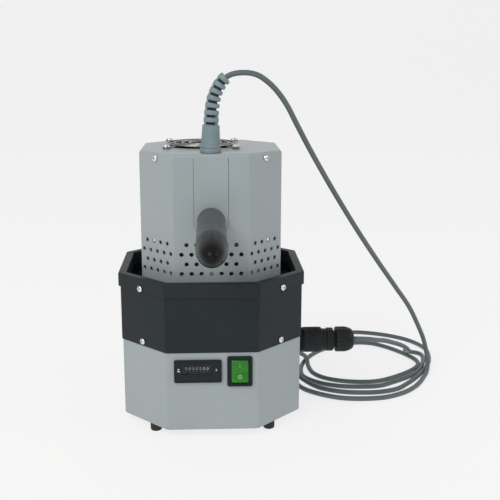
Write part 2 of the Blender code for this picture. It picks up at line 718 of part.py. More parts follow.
switch_face = bezel_back - 2.2 * MM
aperture = (ROCKER_WIDTH / 2 + GAP, ROCKER_HALF + 1.5 * MM)
switch = solid("switch_body", box(bmesh.new(), SWITCH_X - SWITCH_WIDTH / 2,
                                  SWITCH_X + SWITCH_WIDTH / 2, switch_face, bezel_back,
                                  SWITCH_Z - SWITCH_HEIGHT / 2, SWITCH_Z + SWITCH_HEIGHT / 2),
               SWITCH)
boolean(switch, box(bmesh.new(), SWITCH_X - switch_hole[0] + GAP, SWITCH_X + switch_hole[0] - GAP,
                    bezel_back - 1.0 * MM, panel_front + 20 * MM, SWITCH_Z - switch_hole[1] + GAP,
                    SWITCH_Z + switch_hole[1] - GAP), "UNION")
boolean(switch, box(bmesh.new(), SWITCH_X - aperture[0], SWITCH_X + aperture[0],
                    switch_face - 5 * MM, panel_front + 15 * MM, SWITCH_Z - aperture[1],
                    SWITCH_Z + aperture[1]))
pivot_y = panel_front + 2.0 * MM
rocker_centre = 5.0 * MM
rocker_end = 6.2 * MM
rocker_outline = [(-rocker_end, -ROCKER_HALF), (-rocker_end + 1.2 * MM, -ROCKER_HALF - 0.6 * MM),
                  (0.0, -ROCKER_HALF - 0.4 * MM), (6.0 * MM, -6.0 * MM), (6.0 * MM, 6.0 * MM),
                  (0.0, ROCKER_HALF + 0.4 * MM),
                  (-rocker_end + 1.2 * MM, ROCKER_HALF + 0.6 * MM), (-rocker_end, ROCKER_HALF),
                  (-rocker_centre, 0.0)]
axes = Matrix(((0, 0, 1, 0), (1, 0, 0, 0), (0, 1, 0, 0), (0, 0, 0, 1)))
tilt = Matrix.Rotation(-ROCKER_TILT, 4, "X")
rocker_rings = [(rocker_outline, -ROCKER_WIDTH / 2), (rocker_outline, ROCKER_WIDTH / 2)]
solid("switch_rocker", loft(bmesh.new(), rocker_rings, turn=tilt @ axes), ROCKER,
      (SWITCH_X, pivot_y, SWITCH_Z))

# ---------------------------------------------------------------------------------------------
# Panel socket and the plug in it
# ---------------------------------------------------------------------------------------------

FLANGE_HALF = 13.6 * MM
FLANGE_THICKNESS = 2.4 * MM
SPIGOT = 10.0 * MM
plug_axis = along((0, PLUG_Y, PLUG_Z), (1, 0, 0))
flange_out = panel_side + GAP + FLANGE_THICKNESS
spigot_end = panel_side + SOCKET_REACH
socket_profile = [(0.0, panel_side - 17 * MM), (10.5 * MM, panel_side - 17 * MM),
                  (10.5 * MM, panel_side + 1.0 * MM), (SPIGOT, panel_side + 1.0 * MM),
                  (SPIGOT, spigot_end), (SPIGOT - 1.6 * MM, spigot_end),
                  (SPIGOT - 1.6 * MM, flange_out), (0.0, flange_out)]
socket = solid("outlet_socket", turned(bmesh.new(), socket_profile, 24, plug_axis), SOCKET)
flange_turn = along((panel_side + GAP, PLUG_Y, PLUG_Z), (1, 0, 0))
flange = loft(bmesh.new(), [(square(FLANGE_HALF, 2.0 * MM), 0.0),
                            (square(FLANGE_HALF, 2.0 * MM), FLANGE_THICKNESS)], turn=flange_turn)
boolean(socket, flange, "UNION")

ring_start = flange_out + GAP
RING_LENGTH = 25.2 * MM
ring_end = ring_start + RING_LENGTH
RING_BORE = SPIGOT + 0.4 * MM
ring_profile = [(PLUG_RADIUS - 0.6 * MM, ring_start), (PLUG_RADIUS, ring_start + 0.8 * MM),
                (PLUG_RADIUS, ring_end - 0.8 * MM), (PLUG_RADIUS - 0.6 * MM, ring_end),
                (RING_BORE, ring_end), (RING_BORE, ring_start)]
ring_turn = along((0, 0, 0), (1, 0, 0)) @ Matrix.Translation((0, 0, -ring_start))
solid("plug_ring", turned(bmesh.new(), ring_profile, 24, ring_turn), PLUG,
      (ring_start, PLUG_Y, PLUG_Z))

NECK = 9.2 * MM
NUT_BORE = NECK + GAP
body_start = spigot_end + GAP
shoulder = ring_end + GAP
collar_start = shoulder + 5.6 * MM
collar_end = collar_start + 7.2 * MM
neck_end = collar_end + 11.0 * MM
body_profile = [(0.0, body_start), (RING_BORE - GAP, body_start), (RING_BORE - GAP, shoulder),
                (PLUG_RADIUS - 2.0 * MM, shoulder), (PLUG_RADIUS - 2.0 * MM, collar_start),
                (PLUG_RADIUS - 1.0 * MM, collar_start), (PLUG_RADIUS - 1.0 * MM, collar_end),
                (NECK, collar_end), (NECK, neck_end), (0.0, neck_end)]
solid("plug_body", turned(bmesh.new(), body_profile, 24, plug_axis), PLUG)
nut_start = collar_end + 2.6 * MM
nut_end = nut_start + 20.2 * MM
CORD_BORE = CORD_RADIUS + 0.4 * MM
nut_profile = [(PLUG_RADIUS - 0.5 * MM, nut_start), (PLUG_RADIUS, nut_start + 1.0 * MM),
               (PLUG_RADIUS, nut_start + 11.5 * MM), (PLUG_RADIUS - 1.2 * MM, nut_start + 15.5 * MM),
               (PLUG_RADIUS - 3.6 * MM, nut_end - 1.2 * MM), (PLUG_RADIUS - 4.4 * MM, nut_end),
               (CORD_BORE, nut_end), (CORD_BORE, neck_end + GAP), (NUT_BORE, neck_end + GAP),
               (NUT_BORE, nut_start)]
solid("plug_nut", turned(bmesh.new(), nut_profile, 24, plug_axis), PLUG)

# ---------------------------------------------------------------------------------------------
# Mains inlet with its fuse drawer
# ---------------------------------------------------------------------------------------------

flange_front = panel_back + GAP
inlet_face = flange_front + 2.2 * MM
inlet = solid("mains_inlet", box(bmesh.new(), INLET_X - 15 * MM, INLET_X + 15 * MM, flange_front,
                                 inlet_face, INLET_Z - 24 * MM, INLET_Z + 24 * MM), INLET)
boolean(inlet, box(bmesh.new(), INLET_X - INLET_HALF_X + GAP, INLET_X + INLET_HALF_X - GAP,
                   panel_back - 24 * MM, flange_front + 1 * MM, INLET_Z - INLET_HALF_Z + GAP,
                   INLET_Z + INLET_HALF_Z - GAP), "UNION")
mouth_z = INLET_Z + 8 * MM
mouth_floor = inlet_face - 17 * MM
boolean(inlet, box(bmesh.new(), INLET_X - 11.9 * MM, INLET_X + 11.9 * MM, mouth_floor,
                   inlet_face + 5 * MM, mouth_z - 8 * MM, mouth_z + 8 * MM))
pins = bmesh.new()
for offset_x, offset_z in ((-7, -2), (0, 2), (7, -2)):
    box(pins, INLET_X + (offset_x - 1) * MM, INLET_X + (offset_x + 1) * MM, mouth_floor - 2 * MM,
        mouth_floor + 11 * MM, mouth_z + (offset_z - 2) * MM, mouth_z + (offset_z + 2) * MM)
boolean(inlet, pins, "UNION")
drawer_z = INLET_Z - 13 * MM
drawer_back = inlet_face - 19 * MM
boolean(inlet, box(bmesh.new(), INLET_X - 12 * MM, INLET_X + 12 * MM, drawer_back,
                   inlet_face + 5 * MM, drawer_z - 4 * MM, drawer_z + 4 * MM))
drawer = solid("fuse_drawer", box(bmesh.new(), INLET_X - 12 * MM + GAP, INLET_X + 12 * MM - GAP,
                                  drawer_back + GAP, inlet_face - 0.2 * MM,
                                  drawer_z - 4 * MM + GAP, drawer_z + 4 * MM - GAP), DRAWER)
boolean(drawer, box(bmesh.new(), INLET_X - 10.4 * MM, INLET_X + 10.4 * MM, drawer_back + 3 * MM,
                    drawer_back + 9 * MM, drawer_z - 1.5 * MM, drawer_z + 8 * MM))
boolean(drawer, box(bmesh.new(), INLET_X - 4 * MM, INLET_X + 4 * MM, inlet_face - 2.2 * MM,
                    inlet_face + 2 * MM, drawer_z + 1.4 * MM, drawer_z + 8 * MM))

# ---------------------------------------------------------------------------------------------
# Hood
# ---------------------------------------------------------------------------------------------

hood_bottom = DECK_TOP + GAP


def hood_outline(outset=0.0, bend=BEND):
    return octagon(HOOD_HALF, HOOD_CHAMFER, outset, max(bend, 0.4 * MM))


hood_rings = [(hood_outline(-SHEET, BEND - SHEET), HOOD_TOP - HOOD_ROOF),
              (hood_outline(-SHEET, BEND - SHEET), hood_bottom), (hood_outline(), hood_bottom)]
FOLD_STEPS = 3
for step in range(FOLD_STEPS + 1):
    angle = math.pi / 2 * step / FOLD_STEPS
    inset = HOOD_FOLD * (1 - math.cos(angle))
    rise = HOOD_FOLD * (1 - math.sin(angle))
    hood_rings.append((hood_outline(-inset), HOOD_TOP - rise))
hood = solid("hood_shell", loft(bmesh.new(), hood_rings), HOOD_PAINT)

holes = bmesh.new()
faces = [(Vector((0, -1, 0)), HOOD_HALF, 6), (Vector((1, 0, 0)), HOOD_HALF, 6),
         (Vector((0, 1, 0)), HOOD_HALF, 6), (Vector((-1, 0, 0)), HOOD_HALF, 6)]
faces += [(corner, hood_diagonal, 4) for corner in CORNERS]
for normal, distance, count in faces:
    sideways = Vector((-normal.y, normal.x, 0))
    for row in range(HOLE_ROWS):
        across = count + 1 - row % 2
        height = HOLE_FIRST_Z + row * HOLE_PITCH
        for column in range(across):
            offset = (column - (across - 1) / 2) * HOLE_PITCH
            start = normal * (distance - 5 * MM) + sideways * offset + Vector((0, 0, height))
            cylinder(holes, start, normal, 10 * MM, HOLE_RADIUS, 6)
boolean(hood, holes)

roof = bmesh.new()
cylinder(roof, (FAN_X, FAN_Y, HOOD_TOP - 5 * MM), (0, 0, 1), 10 * MM, FAN_BORE, 40)
fan_corners = [(FAN_X + sx * FAN_HOLES / 2, FAN_Y + sy * FAN_HOLES / 2)
               for sx, sy in ((-1, -1), (1, -1), (1, 1), (-1, 1))]
FAN_SCREW_RADIUS = 1.9 * MM
for x, y in fan_corners:
    cylinder(roof, (x, y, HOOD_TOP - 5 * MM), (0, 0, 1), 10 * MM, FAN_SCREW_RADIUS + GAP, 12)
GLAND_TAIL = 7.6 * MM
cylinder(roof, (0, GLAND_Y, HOOD_TOP - 5 * MM), (0, 0, 1), 10 * MM, GLAND_TAIL + GAP, 24)
boolean(hood, roof)
boolean(hood, corner_holes(HOOD_SCREW_Z, hood_diagonal))


def slot_outline(half, top):
    """U outline in (x, z): round at the bottom about the handle's axis, square at the top."""
    arc = [(half * math.cos(math.pi + math.pi * step / 12),
            HANDLE_Z + half * math.sin(math.pi + math.pi * step / 12)) for step in range(13)]
    return arc + [(half, top), (-half, top)]


upright = Matrix(((1, 0, 0, 0), (0, 0, -1, 0), (0, 1, 0, 0), (0, 0, 0, 1)))
slot_gap = 0.35 * MM
slot = loft(bmesh.new(), [(slot_outline(SLOT_HALF, SLOT_TOP), HOOD_HALF - 5 * MM),
                          (slot_outline(SLOT_HALF, SLOT_TOP), HOOD_HALF + 5 * MM)], turn=upright)
boolean(hood, slot)
strip = slot_outline(SLOT_HALF - slot_gap, SLOT_TOP - slot_gap)
mount = solid("handle_mount", loft(bmesh.new(), [(strip, HOOD_HALF - 2.6 * MM),
                                                 (strip, HOOD_HALF)], turn=upright), HOOD_PAINT)
backing_outer = HOOD_HALF - SHEET - GAP
boolean(mount, box(bmesh.new(), -BACKING_HALF, BACKING_HALF, -backing_outer,
                   -backing_outer + 2.0 * MM, HANDLE_Z - 19 * MM, SLOT_TOP - 5 * MM), "UNION")
boolean(mount, cylinder(bmesh.new(), (0, -HOOD_HALF - 5 * MM, HANDLE_Z), (0, 1, 0), 15 * MM,
                        STUD_RADIUS + GAP, 16))

handle_axis = along((0, 0, HANDLE_Z), (0, -1, 0))
grip_start = HOOD_HALF + GAP
grip_end = grip_start + HANDLE_BARREL + HANDLE_KNOB
handle_profile = [(0.0, HOOD_HALF - 12 * MM), (STUD_RADIUS, HOOD_HALF - 12 * MM),
                  (STUD_RADIUS, grip_start), (HANDLE_RADIUS - 0.8 * MM, grip_start),
                  (HANDLE_RADIUS, grip_start + 0.8 * MM), (HANDLE_RADIUS, grip_end)]
DOME_STEPS = 7
for step in range(1, DOME_STEPS):
    angle = math.pi / 2 * step / DOME_STEPS
    handle_profile.append((HANDLE_RADIUS * math.cos(angle),
                           grip_end + HANDLE_DOME * math.sin(angle)))
handle_profile.append((0.0, grip_end + HANDLE_DOME))
solid("handle_grip", turned(bmesh.new(), handle_profile, 24, handle_axis), GRIP, smooth=True)

hood_first = None
for index, corner in enumerate(CORNERS):
    seat = corner * hood_diagonal + Vector((0, 0, HOOD_SCREW_Z))
    if hood_first is None:
        hood_first = solid(f"hood_screw_{index + 1}", screw_shape(6 * MM), STEEL, seat,
                           facing(corner), smooth=True)
    else:
        placed(f"hood_screw_{index + 1}", hood_first.data, STEEL, seat, facing(corner))

# ---------------------------------------------------------------------------------------------
# Fan
# ---------------------------------------------------------------------------------------------

fan_top = HOOD_TOP - HOOD_ROOF - GAP
fan_bottom = fan_top - FAN_DEPTH
HUB_RADIUS = 17.0 * MM
STRUT = 3.0 * MM
place = (FAN_X, FAN_Y, 0)


def offset_outline(outline):
    return [(x + FAN_X, y + FAN_Y) for x, y in outline]


frame_outline = offset_outline(square(FAN_SIZE / 2, 5.0 * MM))
fan_frame = solid("fan_frame", loft(bmesh.new(), [(frame_outline, fan_bottom),
                                                  (frame_outline, fan_top)]), FAN)
boolean(fan_frame, cylinder(bmesh.new(), (FAN_X, FAN_Y, fan_bottom - 5 * MM), (0, 0, 1),
                            FAN_DEPTH + 10 * MM, FAN_BORE, 40))
screw_ways = bmesh.new()
for x, y in fan_corners:
    cylinder(screw_ways, (x, y, fan_bottom - 5 * MM), (0, 0, 1), FAN_DEPTH + 10 * MM,
             FAN_SCREW_RADIUS + GAP, 10)
struts = bmesh.new()
cylinder(struts, (FAN_X, FAN_Y, fan_bottom + 0.2 * MM), (0, 0, 1), STRUT, HUB_RADIUS, 24)
boolean(fan_frame, box(bmesh.new(), FAN_X - FAN_BORE - 1 * MM, FAN_X + FAN_BORE + 1 * MM,
                       FAN_Y - STRUT / 2, FAN_Y + STRUT / 2, fan_bottom + 0.4 * MM,
                       fan_bottom + STRUT), "UNION")
boolean(fan_frame, box(bmesh.new(), FAN_X - STRUT / 2, FAN_X + STRUT / 2,
                       FAN_Y - FAN_BORE - 1 * MM, FAN_Y + FAN_BORE + 1 * MM, fan_bottom + 0.5 * MM,
                       fan_bottom + STRUT - 0.1 * MM), "UNION")
boolean(fan_frame, struts, "UNION")
boolean(fan_frame, screw_ways)

rotor_low = fan_bottom + STRUT + 0.2 * MM + GAP
rotor_high = fan_top - 2.0 * MM
hub = cylinder(bmesh.new(), (0, 0, 0), (0, 0, 1), rotor_high - rotor_low, HUB_RADIUS - 0.5 * MM, 28)
rotor = solid("fan_rotor", hub, FAN, (FAN_X, FAN_Y, rotor_low))
blades = bmesh.new()
blade_length = FAN_BORE - 1.2 * MM - HUB_RADIUS + 4 * MM
blade_middle = (FAN_BORE - 1.2 * MM + HUB_RADIUS - 4 * MM) / 2
for index in range(FAN_BLADES):
    spin = Matrix.Rotation(2 * math.pi * index / FAN_BLADES, 4, "Z")
    lean = Matrix.Rotation(math.radians(38.0), 4, "X")
    size = Matrix.Diagonal((blade_length, 17.0 * MM, 1.4 * MM, 1.0))
    rise = Matrix.Translation((FAN_X, FAN_Y, (rotor_low + rotor_high) / 2))
    bmesh.ops.create_cube(blades, size=1.0,
                          matrix=rise @ spin @ Matrix.Translation((blade_middle, 0, 0)) @ lean @ size)
boolean(rotor, blades, "UNION")

guard_z = HOOD_TOP + GAP + 2.2 * MM
guard_rings = [13.0 * MM, 21.0 * MM, 29.0 * MM, 37.0 * MM]
wire = WIRE / 2
ring_section = [(wire, 0.0), (0.0, wire), (-wire, 0.0), (0.0, -wire)]
guard = None
for radius in guard_rings:
    section = [(radius + across, guard_z + up) for across, up in ring_section]
    if guard is None:
        guard = solid("fan_guard", turned(bmesh.new(), section, 24, Matrix.Translation(place)),
                      GUARD)
    else:
        boolean(guard, turned(bmesh.new(), section, 24, Matrix.Translation(place)), "UNION")
EYE = 4.4 * MM
eye_low = HOOD_TOP + GAP
eye_high = eye_low + WIRE
arms = bmesh.new()
inner_reach = guard_rings[0]
outer_reach = FAN_HOLES / math.sqrt(2) - EYE + 1.0 * MM
for corner in CORNERS:
    start = corner * (inner_reach - 1 * MM) + Vector((FAN_X, FAN_Y, guard_z - wire * 0.6))
    end = corner * outer_reach + Vector((FAN_X, FAN_Y, eye_low + WIRE * 0.55))
    cylinder(arms, start, end - start, (end - start).length, wire, 6)
boolean(guard, arms, "UNION")
eyes = bmesh.new()
for x, y in fan_corners:
    cylinder(eyes, (x, y, eye_low), (0, 0, 1), WIRE, EYE, 12)
boolean(guard, eyes, "UNION")
eye_holes = bmesh.new()
for x, y in fan_corners:
    cylinder(eye_holes, (x, y, eye_low - 2 * MM), (0, 0, 1), WIRE + 4 * MM,
             FAN_SCREW_RADIUS + GAP, 8)
boolean(guard, eye_holes)

fan_screw_profile = [(0.0, fan_bottom + 4 * MM), (FAN_SCREW_RADIUS, fan_bottom + 4 * MM),
                     (FAN_SCREW_RADIUS, eye_high + GAP), (3.7 * MM, eye_high + GAP),
                     (3.4 * MM, eye_high + GAP + 1.1 * MM), (2.0 * MM, eye_high + GAP + 1.7 * MM),
                     (0.0, eye_high + GAP + 1.9 * MM)]
fan_first = None
for index, (x, y) in enumerate(fan_corners):
    if fan_first is None:
        fan_first = solid(f"fan_screw_{index + 1}", turned(bmesh.new(), fan_screw_profile, 10),
                          STEEL, (x, y, 0), smooth=True)
    else:
        placed(f"fan_screw_{index + 1}", fan_first.data, STEEL, (x, y, 0))

# ---------------------------------------------------------------------------------------------
# Gland, bend protector and cable
# ---------------------------------------------------------------------------------------------

CABLE_BORE = CORD_RADIUS + 0.45 * MM
gland_base = HOOD_TOP + GAP
gland_high = HOOD_TOP + 5.0 * MM
locknut_top = HOOD_TOP - HOOD_ROOF - GAP
gland_profile = [(GLAND_RADIUS, gland_base), (GLAND_RADIUS, gland_high - 0.8 * MM),
                 (GLAND_RADIUS - 0.8 * MM, gland_high), (CABLE_BORE, gland_high),
                 (CABLE_BORE, locknut_top - 9 * MM), (GLAND_TAIL, locknut_top - 9 * MM),
                 (GLAND_TAIL, locknut_top - 4 * MM), (GLAND_RADIUS - 0.5 * MM, locknut_top - 4 * MM),
                 (GLAND_RADIUS - 0.5 * MM, locknut_top), (GLAND_TAIL, locknut_top),
                 (GLAND_TAIL, gland_base)]
solid("cable_gland", turned(bmesh.new(), gland_profile, 18, Matrix.Translation((0, GLAND_Y, 0))),
      GLAND)

# The cable's own line, from the sleeve's foot over the side of the hood and down to the table.
protector_foot = gland_high + GAP
foot = protector_foot / MM
ARC = [(0.0, -58, foot), (0.2, -58, foot + 10.7), (0.5, -58, foot + 21.7), (1.3, -58, foot + 34.7),
       (3.2, -58, foot + 46.7), (6.9, -58, foot + 56.7), (11.0, -58, foot + 63.2),
       (15.2, -58, foot + 67.7),
       (19.5, -58, 363.4), (25, -58, 365), (32, -58, 365.6), (39, -57, 365.2), (47, -55.5, 363),
       (55, -53, 358), (64, -50, 350), (75.5, -45, 335.2), (87.5, -37, 314), (100.5, -28, 291),
       (117, -16, 263.5), (137, -2, 231.5), (160.5, 14, 195.6), (188, 34, 156), (217, 56, 116),
       (239, 74, 85.5), (255, 87, 56.5), (265, 94, 34.5), (268.6, 91, 17), (267.4, 80.5, 8.7)]
arc_line = smooth_line([Vector(point) * MM for point in ARC], 1.0 * MM)
TIP = Vector(ARC[7]) * MM
tip_index = min(range(len(arc_line)), key=lambda index: (arc_line[index] - TIP).length)

SLEEVE_LENGTH = 22.0 * MM
RIDGE_RADIUS = 8.2 * MM
CORE_RADIUS = 5.6 * MM
PROTECTOR_TAPER = 0.22
protector_length = tip_index * MM
ridge_line = [arc_line[0], arc_line[int(SLEEVE_LENGTH / MM)]]
radii = [SLEEVE_WIDE, SLEEVE_SLIM]
for ridge in range(RIDGES):
    start = SLEEVE_LENGTH + ridge * RIDGE_PITCH
    for travel, radius in ((start + 1 * MM, CORE_RADIUS), (start + 2 * MM, CORE_RADIUS),
                           (start + 3 * MM, RIDGE_RADIUS), (start + 6 * MM, RIDGE_RADIUS)):
        if travel < protector_length - 0.5 * MM:
            ridge_line.append(arc_line[int(round(travel / MM))])
            radii.append(radius * (1 - PROTECTOR_TAPER * travel / protector_length))
ridge_line.append(arc_line[tip_index])
radii.append(radii[-1] * 0.97)
protector = solid("bend_protector", as_shape(tube("protector_line", ridge_line, SLEEVE_WIDE, 4,
                                                  GLAND, radii)), GLAND)
before_foot = [ridge_line[0] - Vector((0, 0, 5 * MM))]
beyond_tip = [arc_line[tip_index + 5]]
bore_line = before_foot + arc_line[: tip_index + 1 : 5] + beyond_tip
boolean(protector, as_shape(tube("bore_line", bore_line, CABLE_BORE, 2, GLAND)))

cord_line = arc_line[tip_index - 6 : tip_index + 6 : 3] + arc_line[tip_index + 6 :: 13]
cord_line.append(arc_line[-1])
if (cord_line[-2] - cord_line[-1]).length < 5 * MM:
    del cord_line[-2]
tube("cord_arc", cord_line, CORD_RADIUS, 2, CORD)

LEAD = [(nut_end / MM - 8, -4, 72.7), (nut_end / MM, -4, 72.7), (166.5, -2.2, 71.8),
        (177, 4.5, 69), (188, 15.5, 64), (201, 30, 58), (214, 46, 50), (228, 64, 40.5),
        (236.5, 76, 33.5), (246.5, 91, 24.5), (255.5, 104, 16.5), (261.5, 112.5, 11.5),
        (265, 117, 8.9)]
lead_line = smooth_line([Vector(point) * MM for point in LEAD], 12.0 * MM)
lead_line.insert(1, Vector((nut_end, PLUG_Y, PLUG_Z)))
tube("cord_lead", sorted(lead_line, key=lambda point: point.x), CORD_RADIUS, 2, CORD)


def oval(centre_x, centre_y, half_x, half_y, power, steps=48):
    """Superellipse outline."""
    points = []
    for step in range(steps):
        angle = 2 * math.pi * step / steps
        cos, sin = math.cos(angle), math.sin(angle)
        points.append((centre_x + half_x * math.copysign(abs(cos) ** (2 / power), cos),
                       centre_y + half_y * math.copysign(abs(sin) ** (2 / power), sin)))
    return points


outer = oval(190 * MM, 104 * MM, 93.3 * MM, 121 * MM, 2.3)
inner = oval(183 * MM, 111 * MM, 76 * MM, 67 * MM, 2.0)
coil_rings = [(outer, 0.0), (outer, COIL_HEIGHT), (inner, COIL_HEIGHT), (inner, 0.0)]
solid("cord_coil", loft(bmesh.new(), coil_rings, closed=True), CORD)
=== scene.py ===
"""Looks of the dry block heater: an octagonal case and collar, a fan hood on top and a looped cable."""

import json
import math

import bmesh
import bpy
from mathutils import Matrix, Vector

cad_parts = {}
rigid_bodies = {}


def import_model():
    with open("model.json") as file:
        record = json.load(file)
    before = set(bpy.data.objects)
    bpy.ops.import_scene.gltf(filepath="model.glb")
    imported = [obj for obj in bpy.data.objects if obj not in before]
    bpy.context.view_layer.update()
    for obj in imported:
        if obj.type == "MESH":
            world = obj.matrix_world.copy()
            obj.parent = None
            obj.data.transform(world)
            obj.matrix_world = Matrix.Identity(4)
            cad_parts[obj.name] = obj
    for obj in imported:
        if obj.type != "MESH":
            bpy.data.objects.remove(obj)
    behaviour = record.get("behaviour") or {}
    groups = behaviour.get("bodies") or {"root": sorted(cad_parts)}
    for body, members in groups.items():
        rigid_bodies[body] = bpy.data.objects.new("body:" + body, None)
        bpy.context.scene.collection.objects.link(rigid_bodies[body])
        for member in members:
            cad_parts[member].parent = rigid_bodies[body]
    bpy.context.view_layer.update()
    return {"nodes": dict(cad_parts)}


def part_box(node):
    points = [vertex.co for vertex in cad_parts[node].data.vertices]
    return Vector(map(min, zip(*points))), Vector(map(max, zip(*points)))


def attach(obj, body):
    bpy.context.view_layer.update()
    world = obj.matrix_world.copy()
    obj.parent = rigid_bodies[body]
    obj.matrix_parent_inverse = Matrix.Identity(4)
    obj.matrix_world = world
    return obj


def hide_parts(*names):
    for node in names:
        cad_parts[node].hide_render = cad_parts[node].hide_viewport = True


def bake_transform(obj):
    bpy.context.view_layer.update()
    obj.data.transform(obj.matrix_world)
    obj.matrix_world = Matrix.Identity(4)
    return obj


for old in list(bpy.data.objects):
    bpy.data.objects.remove(old, do_unlink=True)
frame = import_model()

# Shapes are given in millimetres about the upright axis; MM turns them into metres.
MM = 0.001
GAP = 0.3

# The octagons are centred on this upright axis. The front panel faces -Y.
case_low, case_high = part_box("base_case")
AXIS = Vector(((case_low.x + case_high.x) / 2, (case_low.y + case_high.y) / 2, 0.0))

# ==== Camera ====

CAMERA_PLACE = Vector((-1.57, -894.12, 383.0)) * MM
CAMERA_YAW = 0.0489
CAMERA_PITCH = -0.2285
CAMERA_ROLL = 0.003
LENS = 60.6

ahead = Vector((math.sin(CAMERA_YAW) * math.cos(CAMERA_PITCH),
                math.cos(CAMERA_YAW) * math.cos(CAMERA_PITCH), math.sin(CAMERA_PITCH)))
level = Vector((math.cos(CAMERA_YAW), -math.sin(CAMERA_YAW), 0.0))
upward = level.cross(ahead)
right = level * math.cos(CAMERA_ROLL) + upward * math.sin(CAMERA_ROLL)
top = upward * math.cos(CAMERA_ROLL) - level * math.sin(CAMERA_ROLL)
lens = bpy.data.cameras.new("camera")
lens.lens = LENS
lens.sensor_width = 36.0
lens.clip_start = 0.02
camera = bpy.data.objects.new("camera", lens)
turn = Matrix((right, top, -ahead)).transposed().to_4x4()
camera.matrix_world = Matrix.Translation(AXIS + CAMERA_PLACE) @ turn
bpy.context.scene.collection.objects.link(camera)
bpy.context.scene.camera = camera
bpy.context.scene.view_settings.view_transform = "Standard"

# ==== Shape helpers ====


def octagon(half, chamfer, outset=0.0, bend=0.0, steps=5):
    """Outline of a square with cut corners, every side moved outward by the outset."""
    diagonal = (2 * half - chamfer) / math.sqrt(2) + outset
    reach = half + outset
    flat = math.sqrt(2) * diagonal - reach
    corners = [(reach, -flat), (reach, flat), (flat, reach), (-flat, reach)]
    corners += [(-reach, flat), (-reach, -flat), (-flat, -reach), (flat, -reach)]
    return rounded(corners, bend, steps) if bend > 0 else corners


def rounded(corners, radius, steps=5):
    """The outline with each corner replaced by an arc."""
    points = []
    for index, corner in enumerate(corners):
        here = Vector(corner)
        back = (Vector(corners[index - 1]) - here).normalized()
        onward = (Vector(corners[(index + 1) % len(corners)]) - here).normalized()
        half_angle = back.angle(onward) / 2
        centre = here + (back + onward).normalized() * radius / math.sin(half_angle)
        start = here + back * radius / math.tan(half_angle) - centre
        end = here + onward * radius / math.tan(half_angle) - centre
        sweep = start.angle_signed(end)
        for step in range(steps + 1):
            arm = start.copy()
            arm.rotate(Matrix.Rotation(-sweep * step / steps, 2))
            points.append(tuple(centre + arm))
    return points


def rectangle(x0, x1, y0, y1):
    return [(x0, y0), (x1, y0), (x1, y1), (x0, y1)]


def panel(centre_x, centre_y, half_x, half_y, corner, steps=5):
    """Rectangle with round corners about a centre."""
    sides = rectangle(centre_x - half_x, centre_x + half_x, centre_y - half_y, centre_y + half_y)
    return rounded(sides, corner, steps)


def box(shape, x, z, half_x, half_z, front, back):
    """A box about a centre in x and z, from front to back in y."""
    size = Matrix.Diagonal((2 * half_x, back - front, 2 * half_z, 1.0))
    centre = Matrix.Translation((x, (front + back) / 2, z))
    bmesh.ops.create_cube(shape, size=1.0, matrix=centre @ size)
    return shape


def facing(direction):
    """Rotation that takes +Z to the direction."""
    return Vector((0, 0, 1)).rotation_difference(Vector(direction)).to_matrix()


def along(point, direction):
    """Matrix that puts a shape turned about Z onto another axis."""
    return Matrix.Translation(point) @ facing(direction).to_4x4()


def cylinder(shape, start, direction, length, radius, steps=24):
    centre = Vector(start) + Vector(direction).normalized() * length / 2
    bmesh.ops.create_cone(shape, cap_ends=True, segments=steps, radius1=radius, radius2=radius,
                          depth=length, matrix=along(centre, direction))
    return shape


def ring_loft(shape, rings, closed=False, turn=None):
    """Joins rings of points; a ring of one point closes the end, and a closed loft has no caps."""
    loops = [[shape.verts.new(point) for point in ring] for ring in rings]
    pairs = list(zip(loops, loops[1:])) + ([(loops[-1], loops[0])] if closed else [])
    for low, high in pairs:
        count = max(len(low), len(high))
        for index in range(count):
            after = (index + 1) % count
            corners = [low[index % len(low)], low[after % len(low)], high[after % len(high)],
                       high[index % len(high)]]
            shape.faces.new(list(dict.fromkeys(corners)))
    if not closed:
        for loop in (loops[0], loops[-1]):
            if len(loop) > 2:
                shape.faces.new(loop)
    if turn:
        bmesh.ops.transform(shape, matrix=turn, verts=[v for loop in loops for v in loop])
    return shape


def loft(rings, closed=False, turn=None, shape=None):
    """Joins flat outlines of the same count, each given with its height."""
    rings = [[(x, y, z) for x, y in outline] for outline, z in rings]
    return ring_loft(shape or bmesh.new(), rings, closed, turn)


def turned(shape, profile, steps=48, turn=None, ribs=0, depth=0.0):
    """Spins (radius, height[, share of rib depth]) points about Z, with optional ribs."""
    closed = all(point[0] > 0 for point in profile)
    rings = []
    for radius, height, *share in profile:
        if radius == 0:
            rings.append([(0.0, 0.0, height)])
            continue
        cut = depth * (share[0] if share else 0.0)
        ring = []
        for step in range(steps):
            angle = 2 * math.pi * step / steps
            wave = 0.5 - 0.5 * math.cos(ribs * angle) if ribs else 0.0
            reach = radius - cut * wave ** 0.6
            ring.append((reach * math.cos(angle), reach * math.sin(angle), height))
        rings.append(ring)
    return ring_loft(shape, rings, closed, turn)


def rounded_profile(corners, radius, steps=4):
    """An open (radius, height) profile whose inner corners become arcs."""
    made = [corners[0]]
    for before, corner, after in zip(corners, corners[1:], corners[2:]):
        here = Vector(corner)
        back = Vector(before) - here
        onward = Vector(after) - here
        reach = min(radius, 0.45 * back.length, 0.45 * onward.length)
        start = here + back.normalized() * reach
        end = here + onward.normalized() * reach
        for step in range(steps + 1):
            share = step / steps
            made.append(tuple(start.lerp(here, share).lerp(here.lerp(end, share), share)))
    made.append(corners[-1])
    return made


